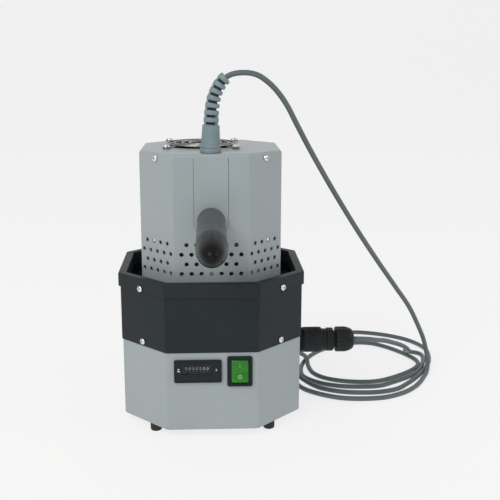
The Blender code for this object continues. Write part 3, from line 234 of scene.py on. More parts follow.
def smooth_line(points, spacing):
    """Points every spacing along a centripetal Catmull-Rom curve through the given points."""
    knots = [Vector(point) for point in points]
    knots = [2 * knots[0] - knots[1], *knots, 2 * knots[-1] - knots[-2]]
    fine = []
    for p0, p1, p2, p3 in zip(knots, knots[1:], knots[2:], knots[3:]):
        t1 = (p1 - p0).length ** 0.5
        t2 = t1 + (p2 - p1).length ** 0.5
        t3 = t2 + (p3 - p2).length ** 0.5
        for step in range(24):
            t = t1 + (t2 - t1) * step / 24
            a1 = p0.lerp(p1, t / t1)
            a2 = p1.lerp(p2, (t - t1) / (t2 - t1))
            a3 = p2.lerp(p3, (t - t2) / (t3 - t2))
            b1 = a1.lerp(a2, t / t2)
            b2 = a2.lerp(a3, (t - t1) / (t3 - t1))
            fine.append(b1.lerp(b2, (t - t1) / (t2 - t1)))
    fine.append(knots[-2])
    line = [fine[0]]
    walked = 0.0
    for near, far in zip(fine, fine[1:]):
        reach = (far - near).length
        while walked + reach >= spacing:
            near = near.lerp(far, (spacing - walked) / reach)
            line.append(near)
            reach = (far - near).length
            walked = 0.0
        walked += reach
    line.append(fine[-1])
    return line


def sweep(shape, line, radius, sides=12):
    """A capped round tube along a line, with frames carried along it."""
    tangents = []
    for index in range(len(line)):
        low, high = max(index - 1, 0), min(index + 1, len(line) - 1)
        tangents.append((line[high] - line[low]).normalized())
    side = tangents[0].orthogonal().normalized()
    rings = []
    for index, (point, tangent) in enumerate(zip(line, tangents)):
        if index:
            side = (tangents[index - 1].rotation_difference(tangent) @ side)
            side = (side - tangent * side.dot(tangent)).normalized()
        other = tangent.cross(side)
        rings.append([point + side * x + other * y for x, y in circle(radius, steps=sides)])
    return ring_loft(shape, rings, False)


def circle(radius, x=0.0, y=0.0, steps=12):
    angles = [2 * math.pi * step / steps for step in range(steps)]
    return [(x + radius * math.cos(angle), y + radius * math.sin(angle)) for angle in angles]


def mesh_of(name, shape):
    """Ends a bmesh in millimetres as a mesh in metres."""
    bmesh.ops.scale(shape, vec=(MM, MM, MM), verts=shape.verts)
    mesh = bpy.data.meshes.new(name)
    shape.to_mesh(mesh)
    shape.free()
    return mesh


def placed(name, mesh, at, turn=None):
    made = bpy.data.objects.new(name, mesh)
    made.matrix_world = Matrix.Translation(AXIS + Vector(at) * MM) @ (turn.to_4x4() if turn else Matrix())
    bpy.context.scene.collection.objects.link(made)
    return made


def carve(target, shape, operation):
    """Applies an exact Boolean at once, so that no cutter stays in the scene."""
    bmesh.ops.recalc_face_normals(shape, faces=shape.faces)
    tool = placed("tool", mesh_of("tool", shape), (0, 0, 0))
    modifier = target.modifiers.new("carve", "BOOLEAN")
    modifier.operation = operation
    modifier.solver = "EXACT"
    modifier.object = tool
    graph = bpy.context.evaluated_depsgraph_get()
    result = bpy.data.meshes.new_from_object(target.evaluated_get(graph))
    target.modifiers.clear()
    spent = (target.data, tool.data)
    target.data = result
    bpy.data.objects.remove(tool, do_unlink=True)
    for mesh in spent:
        bpy.data.meshes.remove(mesh)
    result.name = target.name


def piece(name, shape, finish, body="root", replaces=(), at=(0, 0, 0), turn=None, angle=35.0, cuts=(),
          even=False):
    """Ends a bmesh as an object on a body; each of the cuts is taken away, or joined if it says so."""
    bmesh.ops.recalc_face_normals(shape, faces=shape.faces)
    made = placed(name, mesh_of(name, shape), at, turn)
    for tool in cuts:
        operation, tool = tool if isinstance(tool, tuple) else ("DIFFERENCE", tool)
        carve(made, tool, operation)
    made.data.materials.clear()
    made.data.materials.append(FINISH[finish])
    made.data.shade_smooth()
    made.data.set_sharp_from_angle(angle=math.radians(angle))
    if even:
        modifier = made.modifiers.new("even", "WEIGHTED_NORMAL")
        modifier.keep_sharp = True
    return settled(made, body, replaces)


def settled(made, body, replaces):
    if body:
        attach(made, body)
    if replaces:
        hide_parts(*replaces)
    return made


# ==== Finishes ====

FINISH = {}


def finish(name, colour, roughness, metallic=0.0, mottle=0.12, mottle_size=40, grain=0.02,
           grain_size=0.9, speckle=0.04, spread=0.06, stretch=(1, 1, 1), edge_wear_and_highlight=None, edge_wear_and_highlight_amount=0.6,
           sockets=None):
    """Principled material that varies at the scale of the real finish; sizes are in millimetres."""
    made = bpy.data.materials.new(name)
    made.use_nodes = True
    nodes = made.node_tree.nodes
    link = made.node_tree.links.new
    shader = nodes["Principled BSDF"]
    shader.inputs["Metallic"].default_value = metallic
    for socket, value in (sockets or {}).items():
        shader.inputs[socket].default_value = value
    where = nodes.new("ShaderNodeTexCoord")
    mapping = nodes.new("ShaderNodeMapping")
    mapping.inputs["Scale"].default_value = stretch
    link(where.outputs["Object"], mapping.inputs["Vector"])

    def noise(size, detail, rough=0.5):
        texture = nodes.new("ShaderNodeTexNoise")
        texture.inputs["Scale"].default_value = 1.0 / (size * MM)
        texture.inputs["Detail"].default_value = detail
        texture.inputs["Roughness"].default_value = rough
        link(mapping.outputs["Vector"], texture.inputs["Vector"])
        return texture.outputs["Fac"]

    def blend(factor, low, high):
        mix = nodes.new("ShaderNodeMix")
        mix.data_type = "RGBA"
        link(factor, mix.inputs["Factor"])
        for socket, value in (("A", low), ("B", high)):
            target = [s for s in mix.inputs if s.name == socket and s.type == "RGBA"][0]
            if isinstance(value, bpy.types.NodeSocket):
                link(value, target)
            else:
                target.default_value = (*value, 1.0)
        return [s for s in mix.outputs if s.type == "RGBA"][0]

    def mapped(value, from_low, from_high, to_low, to_high):
        ranged = nodes.new("ShaderNodeMapRange")
        ranged.inputs["From Min"].default_value = from_low
        ranged.inputs["From Max"].default_value = from_high
        ranged.inputs["To Min"].default_value = to_low
        ranged.inputs["To Max"].default_value = to_high
        link(value, ranged.inputs["Value"])
        return ranged.outputs["Result"]

    broad = noise(mottle_size, 4.0, 0.6)
    fine = noise(grain_size, 2.0)
    darker = [channel * (1 - mottle) for channel in colour]
    lighter = [min(channel * (1 + mottle), 1.0) for channel in colour]
    base = blend(mapped(broad, 0.3, 0.7, 0.0, 1.0), darker, lighter)
    spot = [min(channel * (1 + 4 * speckle), 1.0) for channel in colour]
    base = blend(mapped(fine, 0.55, 0.8, 0.0, min(8 * speckle, 1.0)), base, spot)
    # Edges found by a bevel mask are tinted: worn paint on most finishes, a painted edge highlight on the
    # green rocker.
    if edge_wear_and_highlight:
        edge = nodes.new("ShaderNodeBevel")
        edge.samples = 4
        edge.inputs["Radius"].default_value = 0.7 * MM
        surface = nodes.new("ShaderNodeNewGeometry")
        dot = nodes.new("ShaderNodeVectorMath")
        dot.operation = "DOT_PRODUCT"
        link(edge.outputs["Normal"], dot.inputs[0])
        link(surface.outputs["True Normal"], dot.inputs[1])
        exposed = mapped(dot.outputs["Value"], 0.97, 0.80, 0.0, edge_wear_and_highlight_amount)
        patch = mapped(noise(6, 3.0), 0.35, 0.65, 0.25, 1.0)
        product = nodes.new("ShaderNodeMath")
        product.operation = "MULTIPLY"
        link(exposed, product.inputs[0])
        link(patch, product.inputs[1])
        base = blend(product.outputs["Value"], base, edge_wear_and_highlight)
    link(base, shader.inputs["Base Color"])
    gloss = nodes.new("ShaderNodeMath")
    gloss.operation = "ADD"
    link(mapped(broad, 0.3, 0.7, roughness - spread, roughness + spread), gloss.inputs[0])
    link(mapped(fine, 0.3, 0.7, -spread / 2, spread / 2), gloss.inputs[1])
    link(gloss.outputs["Value"], shader.inputs["Roughness"])
    if grain:
        bump = nodes.new("ShaderNodeBump")
        bump.inputs["Strength"].default_value = 1.0
        bump.inputs["Distance"].default_value = grain * MM
        link(fine, bump.inputs["Height"])
        link(bump.outputs["Normal"], shader.inputs["Normal"])
    FINISH[name] = made
    return made


DULL = {"Specular IOR Level": 0.22}
finish("grey_paint", (0.325, 0.362, 0.376), 0.46, mottle=0.025, grain=0.012, grain_size=1.1,
       speckle=0.012, edge_wear_and_highlight=(0.55, 0.57, 0.57), edge_wear_and_highlight_amount=0.5, sockets={"Coat Weight": 0.12})
finish("hood_paint", (0.312, 0.350, 0.364), 0.44, mottle=0.025, grain=0.012, grain_size=1.1,
       speckle=0.012, edge_wear_and_highlight=(0.56, 0.58, 0.58), edge_wear_and_highlight_amount=0.5, sockets={"Coat Weight": 0.12})
finish("black_collar", (0.013, 0.0185, 0.0215), 0.5, grain_size=0.8, speckle=0.05,
       edge_wear_and_highlight=(0.06, 0.068, 0.072), sockets=DULL)
finish("black_rim", (0.014, 0.0185, 0.021), 0.48, grain_size=0.7, speckle=0.05,
       edge_wear_and_highlight=(0.12, 0.122, 0.122), edge_wear_and_highlight_amount=0.8, sockets=DULL)
finish("base_plate_zinc", (0.5, 0.5, 0.49), 0.4, 0.9, mottle=0.15, mottle_size=12, grain=0.03)
finish("foot_rubber", (0.016, 0.016, 0.017), 0.75, mottle=0.2, grain=0.05, grain_size=0.6)
finish("screw_steel", (0.78, 0.78, 0.77), 0.24, 1.0, mottle=0.06, mottle_size=3, grain=0.006,
       grain_size=0.4)
finish("deck_steel", (0.03, 0.034, 0.037), 0.5, 0.2, edge_wear_and_highlight=(0.16, 0.16, 0.16))
finish("tray_insulation", (0.09, 0.088, 0.085), 0.85, mottle=0.15, mottle_size=9, grain=0.08,
       grain_size=1.3)
finish("heater_mica", (0.45, 0.35, 0.2), 0.5, mottle=0.25, mottle_size=7, grain=0.04)
finish("block_aluminium", (0.70, 0.71, 0.72), 0.34, 1.0, mottle=0.06, grain=0.01, grain_size=1.2,
       stretch=(1, 14, 1), edge_wear_and_highlight=(0.85, 0.85, 0.86), edge_wear_and_highlight_amount=0.5)
finish("insert_aluminium", (0.76, 0.77, 0.78), 0.28, 1.0, mottle=0.05, grain=0.008, grain_size=1.2,
       stretch=(14, 1, 1), edge_wear_and_highlight=(0.9, 0.9, 0.9), edge_wear_and_highlight_amount=0.5)
finish("probe_steel", (0.6, 0.6, 0.6), 0.3, 1.0, mottle=0.1, grain=0.006, stretch=(1, 1, 12))
finish("supply_case", (0.6, 0.61, 0.62), 0.38, 0.85, mottle=0.08, grain=0.01, stretch=(1, 12, 1))
finish("board_green", (0.02, 0.15, 0.055), 0.4, mottle=0.2, mottle_size=5, grain=0.03, grain_size=1.5,
       speckle=0.15)
finish("counter_black", (0.010, 0.0135, 0.0155), 0.42, mottle=0.1, grain=0.008, grain_size=0.5,
       sockets=DULL)
finish("drum_black", (0.012, 0.012, 0.013), 0.5, mottle=0.1, grain=0.004)
finish("digit_white", (0.78, 0.78, 0.76), 0.5, mottle=0.03, grain=0.0)
finish("digit_grey", (0.40, 0.42, 0.43), 0.5, mottle=0.03, grain=0.0)
finish("mark_green", (0.14, 0.34, 0.12), 0.5, mottle=0.05, grain=0.0)
finish("mark_pale", (0.36, 0.52, 0.34), 0.5, mottle=0.05, grain=0.0)
finish("window_clear", (0.03, 0.035, 0.04), 0.06, mottle=0.2, grain=0.002, spread=0.02,
       sockets={"Alpha": 0.14, "Coat Weight": 0.6})
finish("switch_black", (0.006, 0.009, 0.011), 0.38, grain=0.01, grain_size=0.4, sockets=DULL)
# The rocker's lighter green edges are a painted edge highlight.
finish("rocker_green", (0.022, 0.185, 0.012), 0.24, mottle=0.14, mottle_size=6, grain=0.006,
       edge_wear_and_highlight=(0.07, 0.36, 0.05), edge_wear_and_highlight_amount=0.7,
       sockets={"Specular IOR Level": 0.3, "Subsurface Weight": 0.15, "Subsurface Scale": 0.002})
finish("socket_black", (0.016, 0.018, 0.019), 0.5, grain_size=0.5, edge_wear_and_highlight=(0.06, 0.065, 0.07), sockets=DULL)
finish("plug_black", (0.009, 0.011, 0.012), 0.42, mottle=0.14, grain_size=0.5, edge_wear_and_highlight=(0.05, 0.056, 0.06),
       edge_wear_and_highlight_amount=0.5, sockets=DULL)
finish("inlet_black", (0.014, 0.015, 0.016), 0.42, grain=0.015)
finish("drawer_black", (0.02, 0.02, 0.022), 0.38, grain=0.015)
finish("grip_black", (0.0085, 0.0095, 0.0095), 0.3, mottle=0.1, grain=0.006, grain_size=0.8,
       spread=0.04, sockets={"Specular IOR Level": 0.1})
# Lighter blue-grey for the grip's barrel: a painted reflection of the bright surroundings on the glossy
# black barrel, seen at a grazing angle.
finish("grip_barrel_painted_reflection", (0.045, 0.06, 0.068), 0.4, mottle=0.1, grain=0.006, grain_size=0.8, spread=0.05)
finish("fan_black", (0.009, 0.01, 0.011), 0.6, grain=0.015, grain_size=0.5,
       sockets={"Specular IOR Level": 0.12})
finish("guard_chrome", (0.30, 0.31, 0.31), 0.3, 1.0, mottle=0.1, mottle_size=5, grain=0.004)
finish("gland_grey", (0.175, 0.235, 0.262), 0.5, mottle=0.07, mottle_size=15, grain_size=0.7,
       edge_wear_and_highlight=(0.38, 0.45, 0.47), edge_wear_and_highlight_amount=0.4)
# Dark teal for the protector's grooves: painted shade in the creases between the ribs.
finish("gland_groove_painted_shade", (0.03, 0.045, 0.052), 0.7, mottle=0.1, sockets={"Specular IOR Level": 0.2})
finish("cord_grey", (0.098, 0.118, 0.128), 0.45, mottle=0.07, mottle_size=25, grain=0.012,
       grain_size=0.8, speckle=0.03)

# ==== Cable ====

CORD_RADIUS = 2.75
LYING = CORD_RADIUS
TIP = Vector((15.2, -58, 361))
ARC = [(0, -58, 293.3), (0.2, -58, 304), (0.5, -58, 315), (1.3, -58, 328), (3.2, -58, 340),
       (6.9, -58, 350), (11, -58, 356.5), (15.2, -58, 361), (19.5, -58, 363.4), (25, -58, 365),
       (32, -58, 365.6), (39, -57, 365.2), (47, -55.5, 363), (55, -53, 358), (64, -50, 350),
       (75.5, -45, 335.2), (87.5, -37, 314), (100.5, -28, 291), (117, -16, 263.5), (137, -2, 231.5),
       (160.5, 14, 195.6), (188, 34, 156), (217, 56, 116), (239, 74, 85.5), (255, 87, 56.5),
       (265, 94, 34.5), (268.6, 91, 17), (267.4, 80.5, 9)]
# Each turn lies flat; a point with a height passes over another turn.
OUTER_TURN = [(262.5, 66, 4.2), (257, 55), (248, 38), (237, 22), (223, 8), (209, -1), (196, -6.5),
              (180, -9), (164, -9), (148, -6.5), (133, 0), (118, 10.5), (107, 22), (100.3, 38),
              (99.5, 58), (104, 85), (105.5, 115), (111, 147), (124, 178), (146, 203), (172, 219),
              (198, 224), (216, 221), (243, 209), (264, 192), (277, 172), (283, 150), (281.2, 130),
              (276, 107), (266.3, 84.5), (256, 66.6), (244, 49), (231, 33), (216, 18), (194, 9.5),
              (170, 8.5), (148, 12.5), (126, 24.5)]
BEHIND_CASE = [(108.5, 45, 5.5), (101, 62, 8.6), (93.5, 79, 5.8), (82, 95), (64, 109), (48, 126),
               (42, 148), (52, 167), (73, 173), (92, 162, 4.5), (106, 146, 8.4), (115, 128, 7.6),
               (119.5, 110, 8.4), (120, 92, 4)]
INNER_TURN = [(124, 71), (135, 55.5), (154, 45), (176, 40.5), (194, 41.5), (208, 47), (222, 55.5),
              (236, 66), (248, 77.5), (256.5, 89), (260.5, 100), (260, 112), (256, 124), (247, 141),
              (231, 163), (214, 177), (195, 180), (166, 168), (143, 152), (125, 128), (114, 103),
              (109.5, 82), (111, 60), (128, 39.5), (150, 29), (173, 26), (197, 28), (218, 40.5),
              (233, 51), (247.5, 64), (257, 79.3), (263.4, 92.5), (268.4, 106), (271.3, 117),
              (272.2, 127), (270.8, 134), (267, 138.2), (261, 139.7, 3.3)]
LEAD = [(255.3, 137.6, 5.6), (251.4, 133.2, 8.6), (249.8, 126, 10.6), (249.6, 118, 13),
        (248.8, 108, 16.6), (246.8, 98, 21), (243, 87.5, 26.5), (236.5, 76, 33.5), (228, 64, 40.5),
        (214, 46, 50), (201, 30, 58), (188, 15.5, 64), (177, 4.5, 69), (166.5, -2.2, 71.8),
        (157.6, -4, 72.7), (149.6, -4, 72.7)]


def spots(points):
    return [Vector((x, y, *(height or (LYING,)))) for x, y, *height in points]


route = spots(ARC + OUTER_TURN + BEHIND_CASE + INNER_TURN + LEAD)
SPACING = 0.5
arc_line = smooth_line(spots(ARC), SPACING)
tip_index = min(range(len(arc_line)), key=lambda index: (arc_line[index] - TIP).length)
whole_line = smooth_line(route, 3.0)
tip_on_cord = min(range(60), key=lambda index: (whole_line[index] - TIP).length)
cord_line = whole_line[tip_on_cord - 3:]
for point in cord_line:
    point.z = max(point.z, LYING)
cord = piece("cable", sweep(bmesh.new(), cord_line, CORD_RADIUS, 14), "cord_grey", body=None,
             replaces=("cord_arc", "cord_lead", "cord_coil"), angle=60)
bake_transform(cord)

# ==== Case, feet and collar ====

BODY_HALF = 93.5
BODY_CHAMFER = 47.0
FOOT_HEIGHT = 8.0
BASE_TOP = 91.0
SHEET = 1.5
BEND = 2.0
RIM_TOP = 163.0
QUADRANTS = ((-1, -1), (1, -1), (1, 1), (-1, 1))
CORNERS = [Vector((sx, sy, 0)).normalized() for sx, sy in QUADRANTS]
BODY_DIAGONAL = (2 * BODY_HALF - BODY_CHAMFER) / math.sqrt(2)
SCREW_SHAFT = 1.5
UPPER_SCREW_Z = 152.3
LOWER_SCREW_Z = 96.2
HOOD_SCREW_Z = 282.0
RIM_BOTTOM = 149.0


def body_outline(outset=0.0, bend=BEND):
    return octagon(BODY_HALF, BODY_CHAMFER, outset, max(bend, 0.4))


def corner_holes(height, distance, radius, depth=12, steps=16):
    holes = bmesh.new()
    for corner in CORNERS:
        start = corner * (distance - depth)
        cylinder(holes, (start.x, start.y, height), corner, 2 * depth, radius, steps)
    return holes


INSIDE = BEND - SHEET
case_rings = [(body_outline(-0.25), FOOT_HEIGHT), (body_outline(), FOOT_HEIGHT + 0.3),
              (body_outline(), BASE_TOP - 0.7), (body_outline(-0.2), BASE_TOP - 0.25),
              (body_outline(-0.7), BASE_TOP), (body_outline(-9, INSIDE), BASE_TOP),
              (body_outline(-9, INSIDE), BASE_TOP - SHEET),
              (body_outline(-SHEET, INSIDE), BASE_TOP - SHEET),
              (body_outline(-SHEET, INSIDE), FOOT_HEIGHT)]
COUNTER_X, COUNTER_Z = -14.6, 71.7
SWITCH_X, SWITCH_Z = 27.7, 71.1
PLUG_Y, PLUG_Z = -4.0, 72.7
INLET_X, INLET_Z = -35.0, 46.0
openings = bmesh.new()
box(openings, COUNTER_X, COUNTER_Z, 22.6, 10.6, -BODY_HALF - 5, -BODY_HALF + 5)
box(openings, SWITCH_X, SWITCH_Z, 11.25, 14.2, -BODY_HALF - 5, -BODY_HALF + 5)
box(openings, INLET_X, INLET_Z, 13.6, 22.2, BODY_HALF - 5, BODY_HALF + 5)
cylinder(openings, (BODY_HALF - 5, PLUG_Y, PLUG_Z), (1, 0, 0), 10, 11, 40)
for corner in octagon(BODY_HALF, BODY_CHAMFER):
    cylinder(openings, (*corner, FOOT_HEIGHT - 2), (0, 0, 1), 5, 1.5, 12)
piece("case_sheet", loft(case_rings, closed=True), "grey_paint", replaces=("base_case",),
      cuts=[openings], even=True)

foot_profile = rounded_profile([(0.0, 0.0), (5.4, 0.0), (6.0, 1.2), (6.0, 7.7), (0.0, 7.7)], 0.5)
foot = piece("rubber_foot_1", turned(bmesh.new(), foot_profile, 40), "foot_rubber",
             replaces=("foot_1",), at=(-59, -73, 0))
for number, (side_x, side_y) in enumerate(QUADRANTS[1:], 2):
    made = placed(f"rubber_foot_{number}", foot.data, (side_x * 59, side_y * 73, 0))
    settled(made, "root", (f"foot_{number}",))

wall_top = RIM_TOP - 2.5
wall_bottom = BASE_TOP + GAP
wall_rings = [(body_outline(0.7), wall_bottom), (body_outline(1.0), wall_bottom + 0.4),
              (body_outline(1.0), wall_top), (body_outline(-1.0, 0.0), wall_top),
              (body_outline(-1.0, 0.0), wall_bottom)]
dimples = bmesh.new()
for corner in CORNERS:
    sideways = Vector((-corner.y, corner.x, 0))
    centre = corner * (BODY_DIAGONAL + 1.0) + sideways * 3
    turned(dimples, [(0.0, -0.7), (0.8, -0.6), (2.4, 0.3), (0.0, 0.3)], 20,
           along((centre.x, centre.y, 113.0), corner))
piece("collar_sheet", loft(wall_rings, closed=True), "black_collar", replaces=("collar_wall",),
      even=True, cuts=[corner_holes(UPPER_SCREW_Z, BODY_DIAGONAL, SCREW_SHAFT + 0.25),
                       corner_holes(LOWER_SCREW_Z, BODY_DIAGONAL, SCREW_SHAFT + 0.25), dimples])

rim_rings = [(body_outline(2.7), RIM_BOTTOM), (body_outline(3.0), RIM_BOTTOM + 0.4)]
for step in range(5):
    angle = math.pi / 2 * step / 4
    rim_rings.append((body_outline((3.0 - 1.0 * (1 - math.cos(angle)))),
                      RIM_TOP - 1.0 * (1 - math.sin(angle))))
for step in range(5):
    angle = math.pi / 2 * step / 4
    rim_rings.append((body_outline((-5.5 + 1.0 * (1 - math.sin(angle)))),
                      RIM_TOP - 1.0 * (1 - math.cos(angle))))
rim_rings += [(body_outline(-5.5), RIM_BOTTOM), (body_outline(-1.3), RIM_BOTTOM),
              (body_outline(-1.3), RIM_TOP - 2.2), (body_outline(1.3), RIM_TOP - 2.2),
              (body_outline(1.3), RIM_BOTTOM)]
piece("collar_edge", loft(rim_rings, closed=True), "black_rim", replaces=("collar_rim",), even=True,
      cuts=[corner_holes(UPPER_SCREW_Z, BODY_DIAGONAL, SCREW_SHAFT + 0.25)])

# ==== Screws with a cross recess ====


def screw_shape(shaft, shaft_radius, head, height, low=GAP):
    """Pan-head screw along +Z with its seat at z = 0."""
    profile = [(0.0, -shaft), (shaft_radius, -shaft), (shaft_radius, low), (head * 0.97, low),
               (head, low + 0.15)]
    for step in range(1, 7):
        angle = math.pi / 2 * step / 6
        profile.append((head * math.cos(angle) ** 0.75 if step < 6 else 0.0,
                        low + 0.15 + (height - 0.15) * math.sin(angle) ** 0.9))
    return turned(bmesh.new(), profile, 32)


def cross_recess(place, turn, height, reach):
    """Two crossed slots, narrower towards their floor."""
    slots = []
    for quarter in (0, 1):
        spin = Matrix.Rotation(math.pi / 2 * quarter, 4, "Z")
        floor = rectangle(-reach * 0.6, reach * 0.6, -0.25, 0.25)
        mouth = rectangle(-reach, reach, -0.42, 0.42)
        place_of_slot = Matrix.Translation(place) @ turn.to_4x4() @ spin
        slots.append(loft([(floor, height - 1.3), (mouth, height + 0.6)], turn=place_of_slot))
    return slots


def cross_screws(places, shape, height, reach):
    """Screws that share one recessed mesh; each place is (node, body, seat, turn)."""
    first = None
    for node, body, seat, turn in places:
        name = f"cross_{node}"
        if first:
            settled(placed(name, first.data, seat, turn), body, (node,))
        else:
            first = piece(name, shape, "screw_steel", body, (node,), seat, turn, angle=40,
                          cuts=cross_recess(seat, turn, height, reach))


HOOD_HALF = 72.5
HOOD_CHAMFER = 34.8
HOOD_TOP = 288.0
HOOD_DIAGONAL = (2 * HOOD_HALF - HOOD_CHAMFER) / math.sqrt(2)
rows = [("collar_screw_", 1, UPPER_SCREW_Z, BODY_DIAGONAL + 3.0, "root"),
        ("collar_screw_", 5, LOWER_SCREW_Z, BODY_DIAGONAL + 1.0, "root"),
        ("hood_screw_", 1, HOOD_SCREW_Z, HOOD_DIAGONAL, "hood")]
places = []
for prefix, first_number, height, distance, body in rows:
    for index, corner in enumerate(CORNERS):
        seat = corner * distance + Vector((0, 0, height))
        spin = facing(corner) @ Matrix.Rotation(0.7 * (index + first_number), 3, "Z")
        places.append((f"{prefix}{first_number + index}", body, seat, spin))
cross_screws(places, screw_shape(6, SCREW_SHAFT, 3.4, 2.2), 2.5, 1.9)

# ==== Heating block insert ====

insert_low, insert_high = 112.2, 156.0
insert_half = 41.7
insert_rings = [(panel(0, 0, insert_half - 0.8, insert_half - 0.8, 3.2), insert_low),
                (panel(0, 0, insert_half, insert_half, 3.7), insert_low + 0.8),
                (panel(0, 0, insert_half, insert_half, 3.7), insert_high - 0.8),
                (panel(0, 0, insert_half - 0.8, insert_half - 0.8, 3.2), insert_high)]
wells = bmesh.new()
for side_x in (-1, 1):
    for side_y in (-1, 1):
        well = [(0.0, 118.2), (3.8, 118.2), (15.25, 126.2), (15.25, insert_high - 0.6),
                (16.6, insert_high + 0.8), (0.0, insert_high + 0.8)]
        turned(wells, well, 56, Matrix.Translation((side_x * 19.5, side_y * 19.5, 0)))
cylinder(wells, (0, 0, insert_high - 15), (0, 0, 1), 20, 2.5, 28)
piece("tube_insert", loft(insert_rings), "insert_aluminium", "insert", ("block_insert",), cuts=[wells],
      even=True)

# ==== Counter ====

UPRIGHT = Matrix(((1, 0, 0, 0), (0, 0, -1, 0), (0, 1, 0, 0), (0, 0, 0, 1)))
FACE = 95.8
PANEL = 93.8
drum_x, drum_z, drum_radius = -15.5, 74.0, 6.5
drum_y = -FACE + 2.3 + drum_radius
drum_span = 13.0


def bezel_ring(inset, depth):
    return (panel(COUNTER_X, COUNTER_Z, 24 - inset, 12 - inset, max(1.6 - inset, 0.3)), FACE - depth)


bezel = [bezel_ring(0.0, 2.0), bezel_ring(0.0, 0.5), bezel_ring(0.15, 0.15), bezel_ring(0.5, 0.0),
         bezel_ring(1.35, 0.0), bezel_ring(1.4, 0.25), bezel_ring(1.75, 0.25), bezel_ring(1.8, 0.0)]
housing = box(bmesh.new(), COUNTER_X, COUNTER_Z, 22.3, 10.3, -PANEL - 0.5, -BODY_HALF + 32)
room = drum_radius + 0.6
drum_room = box(bmesh.new(), drum_x, drum_z, drum_span, room, -FACE + 1.7, drum_y + room)
slit = box(bmesh.new(), drum_x, drum_z, drum_span, 3.4, -FACE - 2, -FACE + 3)
seat = loft([(panel(drum_x, drum_z, 15.2, 5.0, 0.8), FACE - 1.0),
             (panel(drum_x, drum_z, 15.2, 5.0, 0.8), FACE + 2)], turn=UPRIGHT)
axle = cylinder(bmesh.new(), (drum_x - drum_span - 1.5, drum_y, drum_z), (1, 0, 0), 2 * drum_span + 3,
                1.4, 20)
piece("counter_bezel", loft(bezel, turn=UPRIGHT), "counter_black", replaces=("counter_body",),
      even=True, cuts=[("UNION", housing), drum_room, slit, seat, ("UNION", axle)])
pane = [(panel(drum_x, drum_z, 14.9, 4.7, 0.6), 95.1), (panel(drum_x, drum_z, 14.9, 4.7, 0.6), 95.65),
        (panel(drum_x, drum_z, 14.8, 4.6, 0.5), 95.75)]
piece("counter_pane", loft(pane, turn=UPRIGHT), "window_clear", replaces=("counter_window",))


def raised(shape, outline):
    """Adds a flat mark to the counter's face."""
    return loft([(outline, FACE - 0.02), (outline, FACE + 0.04)], turn=UPRIGHT, shape=shape)


mark_x, mark_z = COUNTER_X - 19.2, 73.2
hourglass = bmesh.new()
raised(hourglass, [(mark_x - 1.6, mark_z + 1.5), (mark_x - 0.1, mark_z + 0.2), (mark_x + 1.1, mark_z + 1.5)])
raised(hourglass, [(mark_x - 1.8, mark_z - 1.5), (mark_x + 1.6, mark_z - 1.5), (mark_x - 0.1, mark_z - 0.1)])
piece("counter_mark_left", hourglass, "digit_white")
raised_right = raised(bmesh.new(), panel(COUNTER_X + 18.6, 73.4, 0.55, 1.2, 0.2, 2))
piece("counter_mark_right", raised_right, "digit_grey")


def digit_shape(character):
    """A figure in the XY plane, 3 mm high, centred and cut small enough to bend."""
    text = bpy.data.curves.new("figure", "FONT")
    text.body = character
    text.size = 4.3
    text.align_x = "CENTER"
    text.align_y = "CENTER"
    text.resolution_u = 4
    holder = bpy.data.objects.new("figure", text)
    bpy.context.scene.collection.objects.link(holder)
    graph = bpy.context.evaluated_depsgraph_get()
    mesh = bpy.data.meshes.new_from_object(holder.evaluated_get(graph))
    shape = bmesh.new()
    shape.from_mesh(mesh)
    bpy.data.objects.remove(holder, do_unlink=True)
    bpy.data.curves.remove(text)
    bpy.data.meshes.remove(mesh)
    bmesh.ops.remove_doubles(shape, verts=shape.verts, dist=1e-4)
    bmesh.ops.triangulate(shape, faces=shape.faces)
    for _ in range(2):
        long_edges = [edge for edge in shape.edges if edge.calc_length() > 0.8]
        if long_edges:
            bmesh.ops.subdivide_edges(shape, edges=long_edges, cuts=1)
            bmesh.ops.triangulate(shape, faces=shape.faces)
    return shape


def wheel_mesh(wheel_finish, figure_finish):
    """A number wheel about X with ten raised figures around it, 0 to the front."""
    half = 1.65
    profile = [(1.7, -half), (1.7, half), (6.3, half), (6.5, half - 0.15), (6.5, -half + 0.15),
               (6.3, -half)]
    shape = turned(bmesh.new(), profile, 60, facing((1, 0, 0)).to_4x4())
    bmesh.ops.recalc_face_normals(shape, faces=shape.faces)
    wheel_faces = len(shape.faces)
    for value in range(10):
        figure = digit_shape(str(value))
        for vert in figure.verts:
            angle = vert.co.y / drum_radius + 2 * math.pi * value / 10
            reach = drum_radius + 0.05
            vert.co = Vector((vert.co.x, -reach * math.cos(angle), reach * math.sin(angle)))
        mesh = bpy.data.meshes.new("figure")
        figure.to_mesh(mesh)
        figure.free()
        shape.from_mesh(mesh)
        bpy.data.meshes.remove(mesh)
    shape.faces.ensure_lookup_table()
    for index, face in enumerate(shape.faces):
        face.smooth = True
        face.material_index = 0 if index < wheel_faces else 1
    mesh = mesh_of("number_wheel", shape)
    mesh.materials.append(FINISH[wheel_finish])
    mesh.materials.append(FINISH[figure_finish])
    mesh.set_sharp_from_angle(angle=math.radians(40))
    return mesh


black_wheel = wheel_mesh("drum_black", "digit_grey")
bright_wheel = wheel_mesh("drum_black", "digit_white")
for index in range(7):
    wheel = bright_wheel if index < 2 else black_wheel
    made = placed(f"number_wheel_{index + 1}", wheel, (drum_x + (3 - index) * 3.6, drum_y, drum_z))
    settled(made, f"drum_{index + 1}", (f"counter_drum_{index + 1}",))

# ==== Switch ====

SWITCH_FACE = 96.0


def switch_ring(inset, depth):
    return (panel(SWITCH_X, SWITCH_Z, 12.75 - inset, 16 - inset, max(2.2 - inset, 0.4)),
            SWITCH_FACE - depth)


